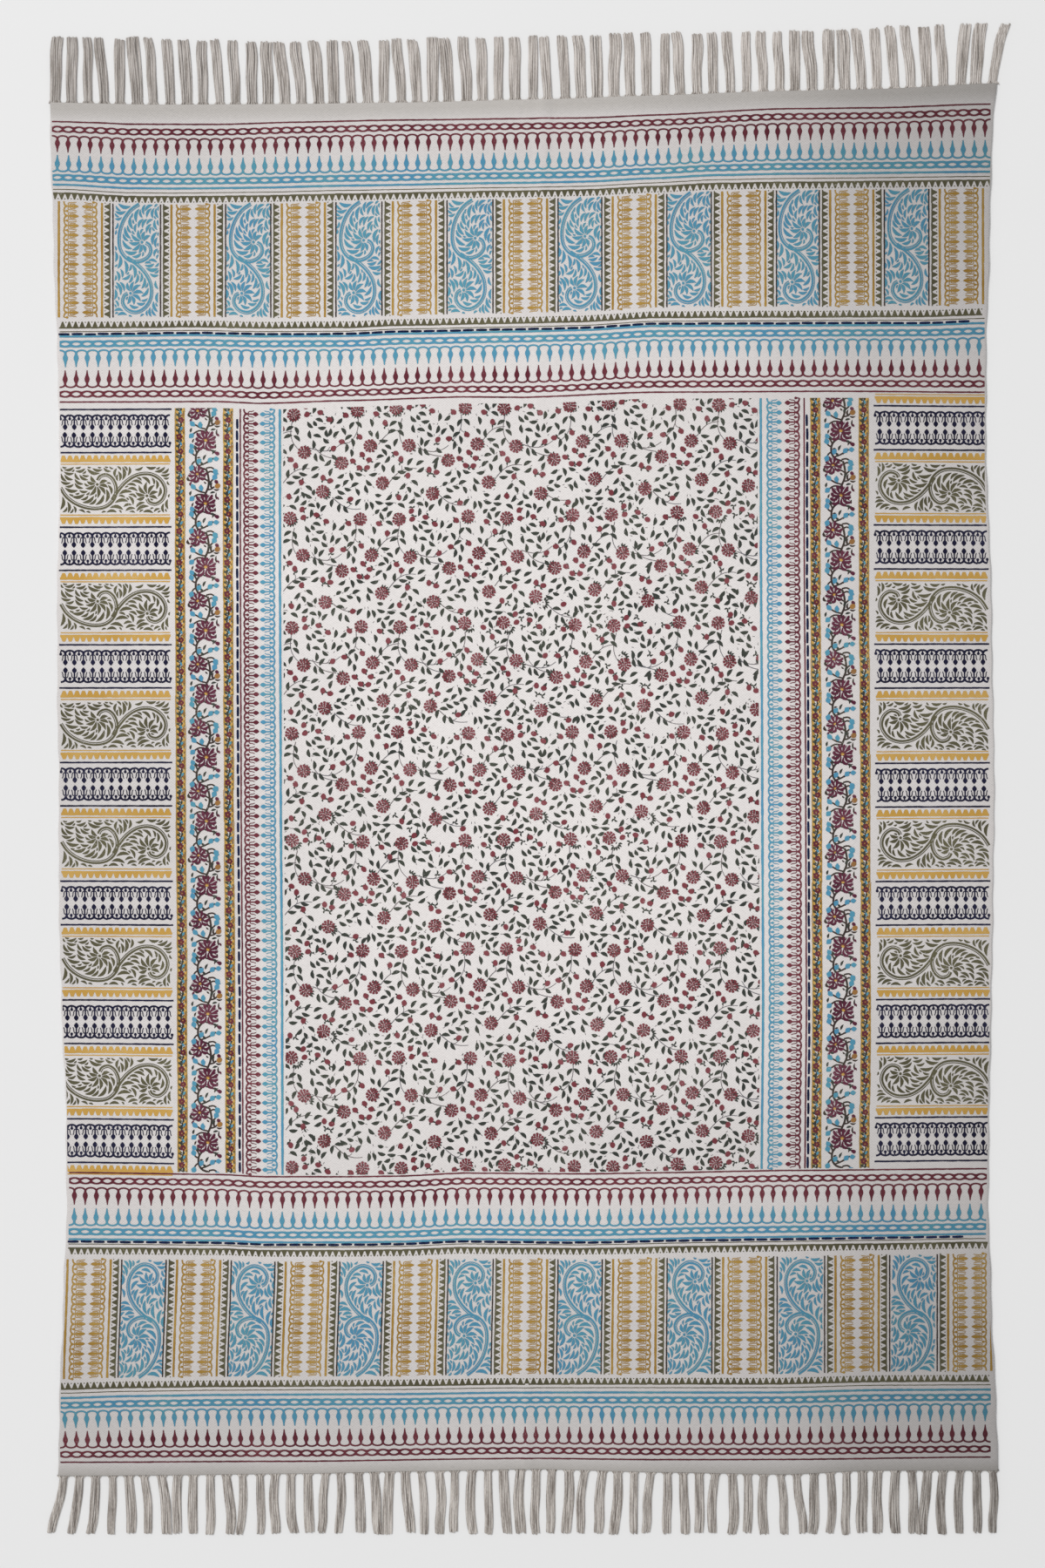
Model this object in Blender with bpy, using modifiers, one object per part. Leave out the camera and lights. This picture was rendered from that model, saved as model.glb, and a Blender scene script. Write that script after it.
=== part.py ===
"""Printed cotton dhurrie rug, lying flat: one flat-woven sheet with a fringe at each end.

Metres, +Z up. +Y runs along the rug to its far end, +X is to the right, and the floor is z = 0.
The origin is on the floor, in the middle of the whole rug with its fringes.

The sheet is one piece, hems included. Each fringe is a row of warp bundles that stand apart and
are joined at their roots in a narrow strip, which lies just outside the end of the sheet.
"""

import math
import random
from collections import namedtuple

import bmesh
import bpy

# Driving sizes
CLOTH_THICK = 0.003
CLOTH_COLUMNS = 20
CLOTH_ROWS = 30
GAP = 0.0003                     # between the sheet and each fringe strip

STRIP_WIDTH = 0.006

LOCK_COUNT = 58                  # warp bundles at each end
LOCK_WIDTH = 0.0140              # at the widest place
LOCK_THICK = 0.0036
LOCK_TOP_SHARE = 0.55            # width of a bundle's top face over its foot
LOCK_STEPS = 5
LOCK_JITTER = 0.0012             # unevenness of the spacing
LOCK_SWAY = 0.0040               # how far one tip strays from its neighbours'
LOCK_UNEVEN = 0.0030             # how much the cut lengths differ
LOCK_APART = 0.0012              # least room between two bundles

CREASE_WIDTH = 0.030             # of the soft fold down the middle, where the rug was stored folded
CREASE_HEIGHT = 0.0016
CREASE_LEAST = 0.35              # how much of it is left half way along

Edge = namedtuple("Edge", "along at")

# The sides of the sheet: along is y and at is x. They draw in and out a little, as cloth lies.
LEFT_SIDE = (
    Edge(0.877, -0.620), Edge(0.796, -0.618), Edge(0.660, -0.614), Edge(0.524, -0.609),
    Edge(0.389, -0.607), Edge(0.253, -0.610), Edge(0.118, -0.610), Edge(-0.018, -0.608),
    Edge(-0.154, -0.608), Edge(-0.289, -0.605), Edge(-0.425, -0.599), Edge(-0.560, -0.598),
    Edge(-0.696, -0.603), Edge(-0.798, -0.607), Edge(-0.904, -0.609),
)
RIGHT_SIDE = (
    Edge(0.902, 0.610), Edge(0.796, 0.601), Edge(0.660, 0.598), Edge(0.524, 0.594),
    Edge(0.389, 0.594), Edge(0.253, 0.600), Edge(0.118, 0.602), Edge(-0.018, 0.605),
    Edge(-0.154, 0.603), Edge(-0.289, 0.601), Edge(-0.425, 0.598), Edge(-0.560, 0.597),
    Edge(-0.696, 0.601), Edge(-0.798, 0.606), Edge(-0.897, 0.610),
)
# The ends of the sheet: along is x and at is y. The far end runs up to the right.
FAR_END = (
    Edge(-0.620, 0.877), Edge(-0.481, 0.874), Edge(-0.301, 0.875), Edge(-0.154, 0.877),
    Edge(0.016, 0.881), Edge(0.163, 0.886), Edge(0.332, 0.892), Edge(0.445, 0.894),
    Edge(0.610, 0.902),
)
NEAR_END = (
    Edge(-0.609, -0.904), Edge(-0.481, -0.903), Edge(-0.301, -0.901), Edge(-0.154, -0.898),
    Edge(0.005, -0.895), Edge(0.163, -0.899), Edge(0.332, -0.902), Edge(0.445, -0.897),
    Edge(0.610, -0.897),
)

# The line to which the bundles of each fringe are cut.
FAR_CUT = (Edge(-0.62, 0.965), Edge(-0.30, 0.958), Edge(0.00, 0.966), Edge(0.33, 0.972),
           Edge(0.61, 0.982))
NEAR_CUT = (Edge(-0.61, -0.981), Edge(0.61, -0.981))

# How far the tips of the bundles lean along X, by the place of their roots.
FAR_LEAN = (
    Edge(-0.62, 0.004), Edge(-0.56, -0.004), Edge(-0.40, -0.006), Edge(-0.15, -0.004),
    Edge(0.10, -0.003), Edge(0.35, -0.002), Edge(0.50, -0.006), Edge(0.55, -0.002),
    Edge(0.57, 0.008), Edge(0.60, 0.014),
)
NEAR_LEAN = (
    Edge(-0.61, -0.021), Edge(-0.58, -0.010), Edge(-0.55, -0.002), Edge(-0.53, 0.002),
    Edge(-0.30, 0.000), Edge(-0.10, 0.003), Edge(0.10, -0.003), Edge(0.35, 0.002),
    Edge(0.60, -0.003),
)
End = namedtuple("End", "edge cut lean outward seed")
FAR = End(FAR_END, FAR_CUT, FAR_LEAN, 1, 11)
NEAR = End(NEAR_END, NEAR_CUT, NEAR_LEAN, -1, 23)


def smooth_at(table, along):
    """Value of a two-column table at a place, eased between its rows."""
    rows = sorted(table, key=lambda row: row[0])
    if along <= rows[0][0]:
        return rows[0][1]
    for low, high in zip(rows, rows[1:]):
        if along <= high[0]:
            share = (along - low[0]) / (high[0] - low[0])
            eased = share * share * (3 - 2 * share)
            return low[1] + (high[1] - low[1]) * (0.5 * share + 0.5 * eased)
    return rows[-1][1]


def crease_height(u, width, y):
    """Lift of the soft middle fold, highest at the two ends of the rug."""
    across = abs(u - 0.5) * width / (CREASE_WIDTH / 2)
    if across >= 1:
        return 0.0
    along = min(1.0, abs(y) / abs(FAR_END[0].at))
    strength = CREASE_LEAST + (1 - CREASE_LEAST) * along * along
    return CREASE_HEIGHT * strength * (0.5 + 0.5 * math.cos(math.pi * across))


def cloth_point(u, v):
    """A point of the sheet's underside; u runs left to right and v near to far, both 0 to 1."""
    y_middle = NEAR_END[0].at + (FAR_END[0].at - NEAR_END[0].at) * v
    left = smooth_at(LEFT_SIDE, y_middle)
    right = smooth_at(RIGHT_SIDE, y_middle)
    x = left + (right - left) * u
    near = smooth_at(NEAR_END, x)
    far = smooth_at(FAR_END, x)
    y = near + (far - near) * v
    return x, y, crease_height(u, right - left, y)


def strip_place(outward):
    """The point function of a strip along one end of the sheet, outward being 1 at the far end."""

    def place(u, v):
        x, inner, _ = cloth_point(u, 1 if outward > 0 else 0)
        out = v if outward > 0 else 1 - v
        return x, inner + outward * (GAP + out * STRIP_WIDTH), 0.0

    return place


def plain_material(name, colour, roughness):
    material = bpy.data.materials.new(name)
    material.use_nodes = True
    shader = material.node_tree.nodes["Principled BSDF"]
    shader.inputs["Base Color"].default_value = (*colour, 1)
    shader.inputs["Roughness"].default_value = roughness
    shader.inputs["Metallic"].default_value = 0
    return material


def new_collection(name):
    collection = bpy.data.collections.new(name)
    bpy.context.scene.collection.children.link(collection)
    return collection


def crease_cuts():
    """Where the middle fold needs columns of its own, as shares of the width from the middle."""
    half = CREASE_WIDTH / 2 / (RIGHT_SIDE[0].at - LEFT_SIDE[0].at)
    return -half, -half / 2, half / 2, half


def laid_sheet(name, columns, rows, place, cuts):
    """A flat sheet from a grid whose points are put in place by a function, standing on z = 0."""
    bm = bmesh.new()
    bmesh.ops.create_grid(bm, x_segments=columns, y_segments=rows, size=0.5)
    for across in cuts:
        bmesh.ops.bisect_plane(bm, geom=bm.verts[:] + bm.edges[:] + bm.faces[:], dist=1e-6,
                               plane_co=(across, 0, 0), plane_no=(1, 0, 0))
    for vert in bm.verts:
        vert.co = place(vert.co.x + 0.5, vert.co.y + 0.5)
    bmesh.ops.triangulate(bm, faces=bm.faces[:])
    mesh = bpy.data.meshes.new(name)
    bm.to_mesh(mesh)
    bm.free()
    obj = bpy.data.objects.new(name, mesh)
    solid = obj.modifiers.new("thickness", "SOLIDIFY")
    solid.thickness = CLOTH_THICK
    solid.offset = 1
    return obj


def lock_profile(helpers):
    """Section of one bundle: a low block with a flat foot, its origin in the middle of the foot."""
    foot = LOCK_WIDTH / 2
    top = foot * LOCK_TOP_SHARE
    curve = bpy.data.curves.new("lock_section", "CURVE")
    curve.dimensions = "2D"
    spline = curve.splines.new("POLY")
    corners = ((foot, 0), (top, LOCK_THICK), (-top, LOCK_THICK), (-foot, 0))
    spline.points.add(len(corners) - 1)
    for point, (across, up) in zip(spline.points, corners):
        point.co = (across, up, 0, 1)
    spline.use_cyclic_u = True
    section = bpy.data.objects.new("lock_section", curve)
    section.hide_render = True
    section.display_type = "WIRE"
    helpers.objects.link(section)
    return section


def lock_share(step):
    """Width of a bundle at a step along it: drawn in at the root, then full, easing to the tip."""
    along = step / LOCK_STEPS
    return 0.72 + 0.28 * math.sin(math.pi * min(1.0, 0.12 + along * 0.62))


def lock_routes(end):
    """The foot line of each bundle of one end, left to right, none closer than LOCK_APART."""
    rng = random.Random(end.seed)
    first = end.edge[0].along + LOCK_WIDTH / 2
    last = end.edge[-1].along - LOCK_WIDTH / 2
    routes = []
    for index in range(LOCK_COUNT):
        root_x = first + (last - first) * index / (LOCK_COUNT - 1)
        if 0 < index < LOCK_COUNT - 1:
            root_x += rng.uniform(-LOCK_JITTER, LOCK_JITTER)
        root_y = smooth_at(end.edge, root_x) + end.outward * (GAP + STRIP_WIDTH / 2)
        tip_x = root_x + smooth_at(end.lean, root_x) + rng.uniform(-LOCK_SWAY, LOCK_SWAY)
        tip_y = smooth_at(end.cut, tip_x) - end.outward * rng.uniform(0, LOCK_UNEVEN)
        bend = rng.uniform(-0.5, 0.5) * LOCK_SWAY
        route = []
        for step in range(LOCK_STEPS + 1):
            along = step / LOCK_STEPS
            x = root_x + (tip_x - root_x) * along ** 1.4
            x += bend * math.sin(2 * math.pi * along) * along
            if routes:
                x = max(x, routes[-1][step][0] + LOCK_WIDTH * lock_share(step) + LOCK_APART)
            route.append((x, root_y + (tip_y - root_y) * along))
        routes.append(route)
    return routes


def locks_mesh(name, end, helpers):
    """All the bundles of one end as one mesh of separate closed bars, lying level on the floor."""
    curve = bpy.data.curves.new(name, "CURVE")
    curve.dimensions = "3D"
    curve.twist_mode = "Z_UP"
    curve.bevel_mode = "OBJECT"
    curve.bevel_object = lock_profile(helpers)
    curve.use_fill_caps = True
    for route in lock_routes(end):
        spline = curve.splines.new("POLY")
        spline.points.add(LOCK_STEPS)
        for step, point in enumerate(spline.points):
            x, y = route[step]
            point.co = (x, y, 0, 1)
            point.radius = lock_share(step)
    obj = bpy.data.objects.new(name + "_curve", curve)
    helpers.objects.link(obj)
    bpy.context.view_layer.update()
    graph = bpy.context.evaluated_depsgraph_get()
    mesh = bpy.data.meshes.new_from_object(obj.evaluated_get(graph))
    bm = bmesh.new()
    bm.from_mesh(mesh)
    bmesh.ops.remove_doubles(bm, verts=bm.verts[:], dist=1e-6)
    bmesh.ops.recalc_face_normals(bm, faces=bm.faces[:])
    bm.to_mesh(mesh)
    bm.free()
    bars = bpy.data.objects.new(name, mesh)
    bars.matrix_world = obj.matrix_world
    bars.hide_render = True
    bars.display_type = "WIRE"
    bpy.data.objects.remove(obj)
    helpers.objects.link(bars)
    return bars


def fringe(name, end, material, parts, helpers):
    """One fringe: its root strip with the bundles joined on."""
    strip = laid_sheet(name, CLOTH_COLUMNS, 1, strip_place(end.outward), crease_cuts())
    bars = locks_mesh(name + "_locks", end, helpers)
    join = strip.modifiers.new("bundles", "BOOLEAN")
    join.operation = "UNION"
    join.solver = "EXACT"
    join.object = bars
    strip.data.materials.append(material)
    parts.objects.link(strip)
    return strip


def main():
    for obj in list(bpy.data.objects):
        bpy.data.objects.remove(obj)
    parts = new_collection("dhurrie_rug")
    helpers = new_collection("cutters")
    printed = plain_material("printed cotton", (0.62, 0.57, 0.50), 0.92)
    yarn = plain_material("undyed yarn", (0.45, 0.42, 0.38), 0.95)

    cloth = laid_sheet("rug_cloth", CLOTH_COLUMNS, CLOTH_ROWS, cloth_point, crease_cuts())
    cloth.data.materials.append(printed)
    parts.objects.link(cloth)
    fringe("fringe_far", FAR, yarn, parts, helpers)
    fringe("fringe_near", NEAR, yarn, parts, helpers)


main()
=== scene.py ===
"""Printed cotton dhurrie rug: its cloth, its block print, its running stitches and its yarn fringes.

The print is drawn on the flat cloth in millimetres, x to the right and y to the far end, from the
middle of the rug. Each ink is one thin skin, which is then laid on the cloth as the cloth lies.
"""

import math
import random
from collections import namedtuple

import bmesh
import bpy
import numpy as np
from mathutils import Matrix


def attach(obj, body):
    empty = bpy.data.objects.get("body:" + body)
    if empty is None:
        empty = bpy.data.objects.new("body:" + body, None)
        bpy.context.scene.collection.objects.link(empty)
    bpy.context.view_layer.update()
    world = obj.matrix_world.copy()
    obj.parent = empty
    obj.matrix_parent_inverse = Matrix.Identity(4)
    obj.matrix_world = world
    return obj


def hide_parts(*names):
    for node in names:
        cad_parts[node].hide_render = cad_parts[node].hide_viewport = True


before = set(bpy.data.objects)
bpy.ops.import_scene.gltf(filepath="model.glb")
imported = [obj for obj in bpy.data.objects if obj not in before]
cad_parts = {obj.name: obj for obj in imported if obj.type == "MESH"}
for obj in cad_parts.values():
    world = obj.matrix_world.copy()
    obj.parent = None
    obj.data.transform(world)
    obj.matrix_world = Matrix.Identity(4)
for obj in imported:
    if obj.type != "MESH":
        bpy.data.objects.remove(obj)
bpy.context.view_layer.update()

MM = 0.001
QUARTER = math.pi / 2

# The sheet, as the part's source has it, in millimetres
CLOTH_THICK = 3.0
FOLD_WIDTH = 30.0
FOLD_HEIGHT = 1.6
FOLD_LEAST = 0.35
LEFT_SIDE = (
    (877, -620), (796, -618), (660, -614), (524, -609), (389, -607), (253, -610), (118, -610),
    (-18, -608), (-154, -608), (-289, -605), (-425, -599), (-560, -598), (-696, -603),
    (-798, -607), (-904, -609),
)
RIGHT_SIDE = (
    (902, 610), (796, 601), (660, 598), (524, 594), (389, 594), (253, 600), (118, 602),
    (-18, 605), (-154, 603), (-289, 601), (-425, 598), (-560, 597), (-696, 601), (-798, 606),
    (-897, 610),
)
FAR_END = (
    (-620, 877), (-481, 874), (-301, 875), (-154, 877), (16, 881), (163, 886), (332, 892),
    (445, 894), (610, 902),
)
NEAR_END = (
    (-609, -904), (-481, -903), (-301, -901), (-154, -898), (5, -895), (163, -899), (332, -902),
    (445, -897), (610, -897),
)
# How far to the right the fold wanders off the middle, by its place along the rug
FOLD_WANDER = ((-904, -2), (-600, -2), (-300, 2), (0, 8), (490, 22), (902, 28))

# Cloth mesh: its columns are finer beside the fold
HALF_WIDE = 610.0
COLUMN = 8.0
FOLD_COLUMN = 2.5
FOLD_REACH = 45.0
ROW = 8.0
EDGE_BEVEL = 0.9
EDGE_UNEVEN = 0.5
WAVES_LEVEL = 0.68               # the sum of its waves' heights, so that none is below the floor
# The end hems: how far in each has faded out, and over what length it fades
FAR_HEM = 21.0
NEAR_HEM = 13.0
HEM_FADE = 8.0

# The skins of ink
EDGE_BARE = 1.6                  # between the print and the cloth's side
WELD = 0.002
EMPTY_AREA = 1e-10

# How far up the printing and the pull of the cloth shift each level of the print, from left to right
Level = namedtuple("Level", "y shifts")
LEVELS = (
    Level(858, ((-620, -4.5), (-560, -6.2), (-515, -8.2), (-402, -8.4), (-301, -5.5), (-165, -2.7),
                (72, 0), (163, 3.7), (332, 12.0), (457, 13.2), (592, 18.1))),
    Level(772, ((-603, -2.4), (-515, -7.2), (-459, -7.5), (-346, -6.3), (-233, -3.6), (-7, 0),
                (72, 1.5), (163, 5.8), (242, 9.9), (332, 11.6), (592, 14.2))),
    Level(573, ((-599, -6.6), (-431, -4.5), (-346, -6.2), (-233, -5.9), (-165, -2.8), (-7, 0),
                (72, 1.9), (163, 7.2), (513, 8.1), (586, 10.7))),
    Level(495, ((-599, -6.2), (-402, -5.5), (-346, -8.0), (-233, -4.2), (-86, 0.6), (-7, 0),
                (163, 6.7), (400, 7.9), (586, 6.6))),
    Level(-7, ((-599, -0.6), (-7, 0), (586, 4.0))),
    Level(-510, ((-589, 0), (-402, -2.4), (-346, -5.3), (-233, -5.3), (-165, -4.4), (-86, -0.6),
                 (72, -1.6), (163, -0.3), (332, 2.8), (586, 5.0))),
    Level(-600, ((-589, -1.1), (-402, -2.7), (-346, -5.0), (-233, -5.0), (-165, -4.2), (-86, -1.0),
                 (72, -2.3), (242, 0.9), (457, 3.8), (586, 5.9))),
    Level(-795, ((-600, -7.3), (-515, -4.7), (-402, -3.2), (-165, -2.1), (-7, 0), (332, 0.1),
                 (457, 3.2), (592, 3.8))),
    Level(-881, ((-600, -5.2), (-301, -4.0), (-7, 0), (163, -1.8), (332, -1.6), (592, 1.5))),
)
# How far right the long columns of the print wander, by their place along the rug
LEFT_DRIFT = ((-881, 0), (-771, -2.4), (-621, 2.4), (-500, 3.4), (-280, 2.8), (-20, 1.1),
              (300, 0), (881, 0))
RIGHT_DRIFT = ((-881, 0), (-600, 0), (-500, 1.5), (-300, 3.4), (0, 2.3), (300, 0.5), (881, 0))
DRIFT_AT = 330.0                 # each drift is measured this far from the middle

# Heights over the cloth: each ink has its own, and each pressing, copy and shape within its ink
INK_LIFT = 0.10
INK_LIFT_STEP = 0.05
PRESS_LIFT = 0.024
COPY_LIFT = 0.012
SHAPE_LIFT = 0.0015
SHAPE_LEVELS = 8

# How far the copies in a row stray, and the turn that goes with a millimetre of it
ROW_STRAY = 0.25
PANEL_SCROLL_STRAY = 0.3
SIDE_SCROLL_STRAY = 0.5
FIELD_STRAY = 0.8
STRAY_TURN = 0.05
# Straight lines: length of their steps, their sway, and the least and greatest share of their width
RULE_STEP = 4.0
RULE_SWAY = 0.14
RULE_SHARES = (0.82, 1.12)
BEYOND = 1000.0                  # farther out than any of the print

# Bands of drops across the rug, each measured from its red line towards its sawtooth
DROP_PITCH = 14.15
Band = namedtuple("Band", "red_line way stretch left right stitch")
BANDS = (
    Band(856.5, -1, 0.985, -617, 600, None),
    Band(494.4, 1, 1.0, -607, 592, 88.1),
    Band(-510.5, -1, 1.0, -598, 594, 88.4),
    Band(-880.7, 1, 1.0, -606, 600, None),
)
CHAIN_AT = 10.3
CHAIN_HALF = 4.6                 # from the middle of a chain to its outer edge
ARCH_CUSP = 23.2
DROP_FROM = 23.0
FACING_BASE = 63.6
FACING_CUSP = 63.4
FACING_CHAIN_AT = 75.6
BLUE_LINE_AT = 85.3
THIN_LINE_AT = 91.4
SAWTOOTH_AT = 95.4
RED_LINE = 2.0                   # the widths of its three lines
BLUE_LINE = 2.7
THIN_LINE = 1.1
SAW_PITCH = 8.36

# Bands of upright panels: the middles of the crest panels, printed by hand and so not quite even
PanelBand = namedtuple("PanelBand", "top bottom middles scroll_turn")
PANEL_BANDS = (
    PanelBand(751.5, 604.0, (-580, -434, -291, -147, -3, 138, 280, 420, 562), -QUARTER),
    PanelBand(-621.0, -771.5, (-571, -429, -288, -147, -4, 138, 281, 427, 573), QUARTER),
)
CREST_ROWS = 12                  # crests in one row
PANEL_CREST_FROM = 22.2          # the arches, from the middle of a crest panel
PANEL_CREST_DEPTH = 18.8
PANEL_LINE_AT = 28.0
PANEL_SAW_AT = 38.9
PANEL_DARK_AT = 42.2
PANEL_SCROLL = 57.4              # width of a scroll panel
PANEL_LINE = 2.9
PANEL_DARK_LINE = 1.7
PANEL_SAW_HIGH = 0.88            # share of a tooth's drawn height

# Columns of lying panels at the sides
SideColumn = namedtuple("SideColumn", "left right top pitch turn half_above half_below")
SIDE_COLUMNS = (
    SideColumn(-606, -464, 484.6, 154.2, 0.0, False, True),
    SideColumn(450, 595, 476.1, 153.2, math.pi, True, False),
)
SIDE_STRIPES = 7
STRIPE_ARCH = 6.6                # from the upper navy line of a crest stripe
STRIPE_FACING_ARCH = 49.9
STRIPE_DEPTH = 56.6
STRIPE_SAW = 69.0
STRIPE_THIN_LINE = 71.6
STRIPE_SCROLL_TOP = 74.4
STRIPE_SCROLL_BOTTOM = 135.6
STRIPE_LOWER_THIN_LINE = 138.4
STRIPE_LOWER_SAW = 141.0
STRIPE_LINE = 2.2
STRIPE_LINE_OVER = 2.0           # how far the navy lines run past the column's sides
STRIPE_THIN_WIDTH = 1.5
STRIPE_CREST_HIGH = 1.05         # share of a crest's drawn height

# Long columns on both sides of the field, and where each of their parts runs
COLUMN_TOP = 486.0
COLUMN_BOTTOM = -508.0
Long = namedtuple(
    "Long", "mixed_outer vine mixed_inner stitch stitch_pitch red_line red_crest blue_crest blue_line")
LEFT_LONG = Long(-450.9, -419.8, -388.7, -376.7, 15.1, -372.7, -369.0, -327.6, -321.4)
RIGHT_LONG = Long(435.1, 403.7, 372.3, 361.6, 17.4, 357.9, 352.4, 309.0, 301.7)
CREST_PITCH = 12.0
CREST_DEPTH = 20.0
COLUMN_CREST_PITCH = 12.26
COLUMN_CREST_HIGH = 1.03
COLUMN_RED_LINE = 1.9
COLUMN_BLUE_LINE = 3.0
VINE_PERIOD = 83.0
MIXED_PERIOD = 41.2

FIELD_LEFT, FIELD_RIGHT = -317.0, 297.5
FIELD_BLOCK = (137.9, 140.1)
FIELD_FIRST = (-393.3, -603.2)   # lower left corner of the first block, partly outside the field

# Stitches
STITCH_PITCH = 16.9
STITCH_LONG = 14.0
STITCH_THICK = 3.1
STITCH_STRAY = 0.35
STITCH_SEED = 40
# How far in a row starts, and how much shorter than its band or its column it is
BAND_ROW_START, BAND_ROW_SHORT = 6.0, 10.0
COLUMN_ROW_START, COLUMN_ROW_SHORT = 8.0, 4.0

# Fringes, as the part's source has them, in millimetres, but for an end's last two values: they are
# how full its bundles are, and how far they stray on their way
GAP = 0.3
STRIP_WIDTH = 6.0
LOCK_COUNT = 58
LOCK_WIDTH = 14.0
LOCK_STEPS = 5
LOCK_JITTER = 1.2
LOCK_SWAY = 4.0
LOCK_UNEVEN = 3.0
LOCK_APART = 1.2
End = namedtuple("End", "edge cut lean outward seed fullness stray")
FAR = End(
    FAR_END,
    ((-620, 965), (-300, 958), (0, 966), (330, 972), (610, 982)),
    ((-620, 4), (-560, -4), (-400, -6), (-150, -4), (100, -3), (350, -2), (500, -6), (550, -2),
     (570, 8), (600, 14)),
    1, 11, 1.0, 0.0,
)
NEAR = End(
    NEAR_END,
    ((-610, -981), (610, -981)),
    ((-610, -21), (-580, -10), (-550, -2), (-530, 2), (-300, 0), (-100, 3), (100, -3), (350, 2),
     (600, -3)),
    -1, 23, 0.84, 3.2,
)
# Yarns: how many there are in a bundle, how full it is, and how each yarn differs from the next
YARNS = 9
YARN_THICK = 2.3
YARN_SIDES = 6
BUNDLE_FULL = (0.95, 1.32)
ROOT_SPREAD = 1.25
ROOT_UNDER = 1.0                 # how far the yarns start inside the cloth's end
ROOT_HIGH = 1.6
ROOT_TAPER = 0.7
TIP_TAPER = 0.8
YARN_ASTRAY = 0.35
YARN_SWAY = 0.8
YARN_SHORT = 0.035
YARN_SHARES = (0.85, 1.25)

# The studio, seen straight down, as in the photograph
VIEW_MIDDLE = (-6.8, -6.8)
VIEW_HIGH = 2034.0               # of the rug's plane, from the top of the picture to its bottom
CAMERA_UP = 4.8
SENSOR = 36.0
# Lamps: name, place, size, power
LAMPS = (("key", (-7.6, 5.6, 13.6), 5.0, 1330), ("overhead", (0.2, -0.2, 9.0), 6.0, 100))
SURROUNDINGS = 0.48


def colour(red, green, blue):
    """A colour given as it is seen, 0 to 255, in the linear values that Blender takes."""
    def linear(value):
        share = value / 255
        return share / 12.92 if share <= 0.04045 else ((share + 0.055) / 1.055) ** 2.4
    return (linear(red), linear(green), linear(blue), 1.0)


GROUND = colour(236, 231, 229)
HEM = colour(212, 207, 202)


# The cloth's shape


def smooth_at(table, along):
    """The value of a table of (along, value) rows at each place, eased from row to row."""
    rows = np.array(sorted(table), dtype=float)
    along = np.clip(along, rows[0, 0], rows[-1, 0])
    index = np.clip(np.searchsorted(rows[:, 0], along, side="right") - 1, 0, len(rows) - 2)
    low, high = rows[index], rows[index + 1]
    share = (along - low[..., 0]) / (high[..., 0] - low[..., 0])
    eased = 0.5 * share + 0.5 * share**2 * (3 - 2 * share)
    return low[..., 1] + (high[..., 1] - low[..., 1]) * eased


def cloth_place(u, v):
    """Where the sheet's point at the shares u across it and v along it lies."""
    middle = NEAR_END[0][1] + (FAR_END[0][1] - NEAR_END[0][1]) * v
    left = smooth_at(LEFT_SIDE, middle)
    right = smooth_at(RIGHT_SIDE, middle)
    x = left + (right - left) * u
    near = smooth_at(NEAR_END, x)
    far = smooth_at(FAR_END, x)
    return x, near + (far - near) * v


def cloth_rise(x, y):
    """How high the underside stands over the floor: the fold down the middle, and low waves."""
    middle = (smooth_at(LEFT_SIDE, y) + smooth_at(RIGHT_SIDE, y)) / 2 + smooth_at(FOLD_WANDER, y)
    across = np.clip(np.abs(x - middle) / (FOLD_WIDTH / 2), 0, 1)
    along = np.clip(np.abs(y) / FAR_END[0][1], 0, 1)
    strength = FOLD_LEAST + (1 - FOLD_LEAST) * along**2
    fold = FOLD_HEIGHT * strength * (0.5 + 0.5 * np.cos(np.pi * across))
    waves = 0.30 * np.sin(x / 61 + 0.7) * np.cos(y / 83 + 0.4)
    waves += 0.22 * np.sin(x / 37 - y / 45 + 2.0)
    waves += 0.16 * np.cos(y / 21 + 1.1 * np.sin(x / 90))
    return fold + WAVES_LEVEL + waves


def cloth_top(x, y):
    """Height of the upper face of the cloth."""
    return CLOTH_THICK + cloth_rise(x, y)


def as_printed(x, y):
    """Where a point of the flat print lands on the cloth."""
    heights = np.array([level.y for level in LEVELS][::-1], dtype=float)
    shifts = np.array([smooth_at(level.shifts, x) for level in LEVELS][::-1])
    held = np.clip(y, heights[0], heights[-1])
    index = np.clip(np.searchsorted(heights, held, side="right") - 1, 0, len(heights) - 2)
    share = (held - heights[index]) / (heights[index + 1] - heights[index])
    columns = np.arange(len(x))
    up = shifts[index, columns] * (1 - share) + shifts[index + 1, columns] * share
    side = np.clip((x + DRIFT_AT) / (2 * DRIFT_AT), 0, 1)
    right = smooth_at(LEFT_DRIFT, y) * (1 - side) + smooth_at(RIGHT_DRIFT, y) * side
    return x + right, y + up


# Objects and meshes


def new_object(name, data):
    """An object, placed in the scene."""
    obj = bpy.data.objects.new(name, data)
    bpy.context.scene.collection.objects.link(obj)
    return obj


def new_mesh(name, bm):
    """The mesh that a bmesh holds."""
    mesh = bpy.data.meshes.new(name)
    bm.to_mesh(mesh)
    bm.free()
    return mesh


def finished_mesh(obj):
    """The mesh of an object with its modifiers applied. The object itself is taken away."""
    graph = bpy.context.evaluated_depsgraph_get()
    mesh = bpy.data.meshes.new_from_object(obj.evaluated_get(graph))
    bpy.data.objects.remove(obj)
    return mesh


def places_of(mesh):
    """The places of a mesh's points, a row for each."""
    places = np.empty(len(mesh.vertices) * 3)
    mesh.vertices.foreach_get("co", places)
    return places.reshape(-1, 3)


def put_material(mesh, material):
    """Gives the whole mesh one material."""
    mesh.materials.clear()
    mesh.materials.append(material)


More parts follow.
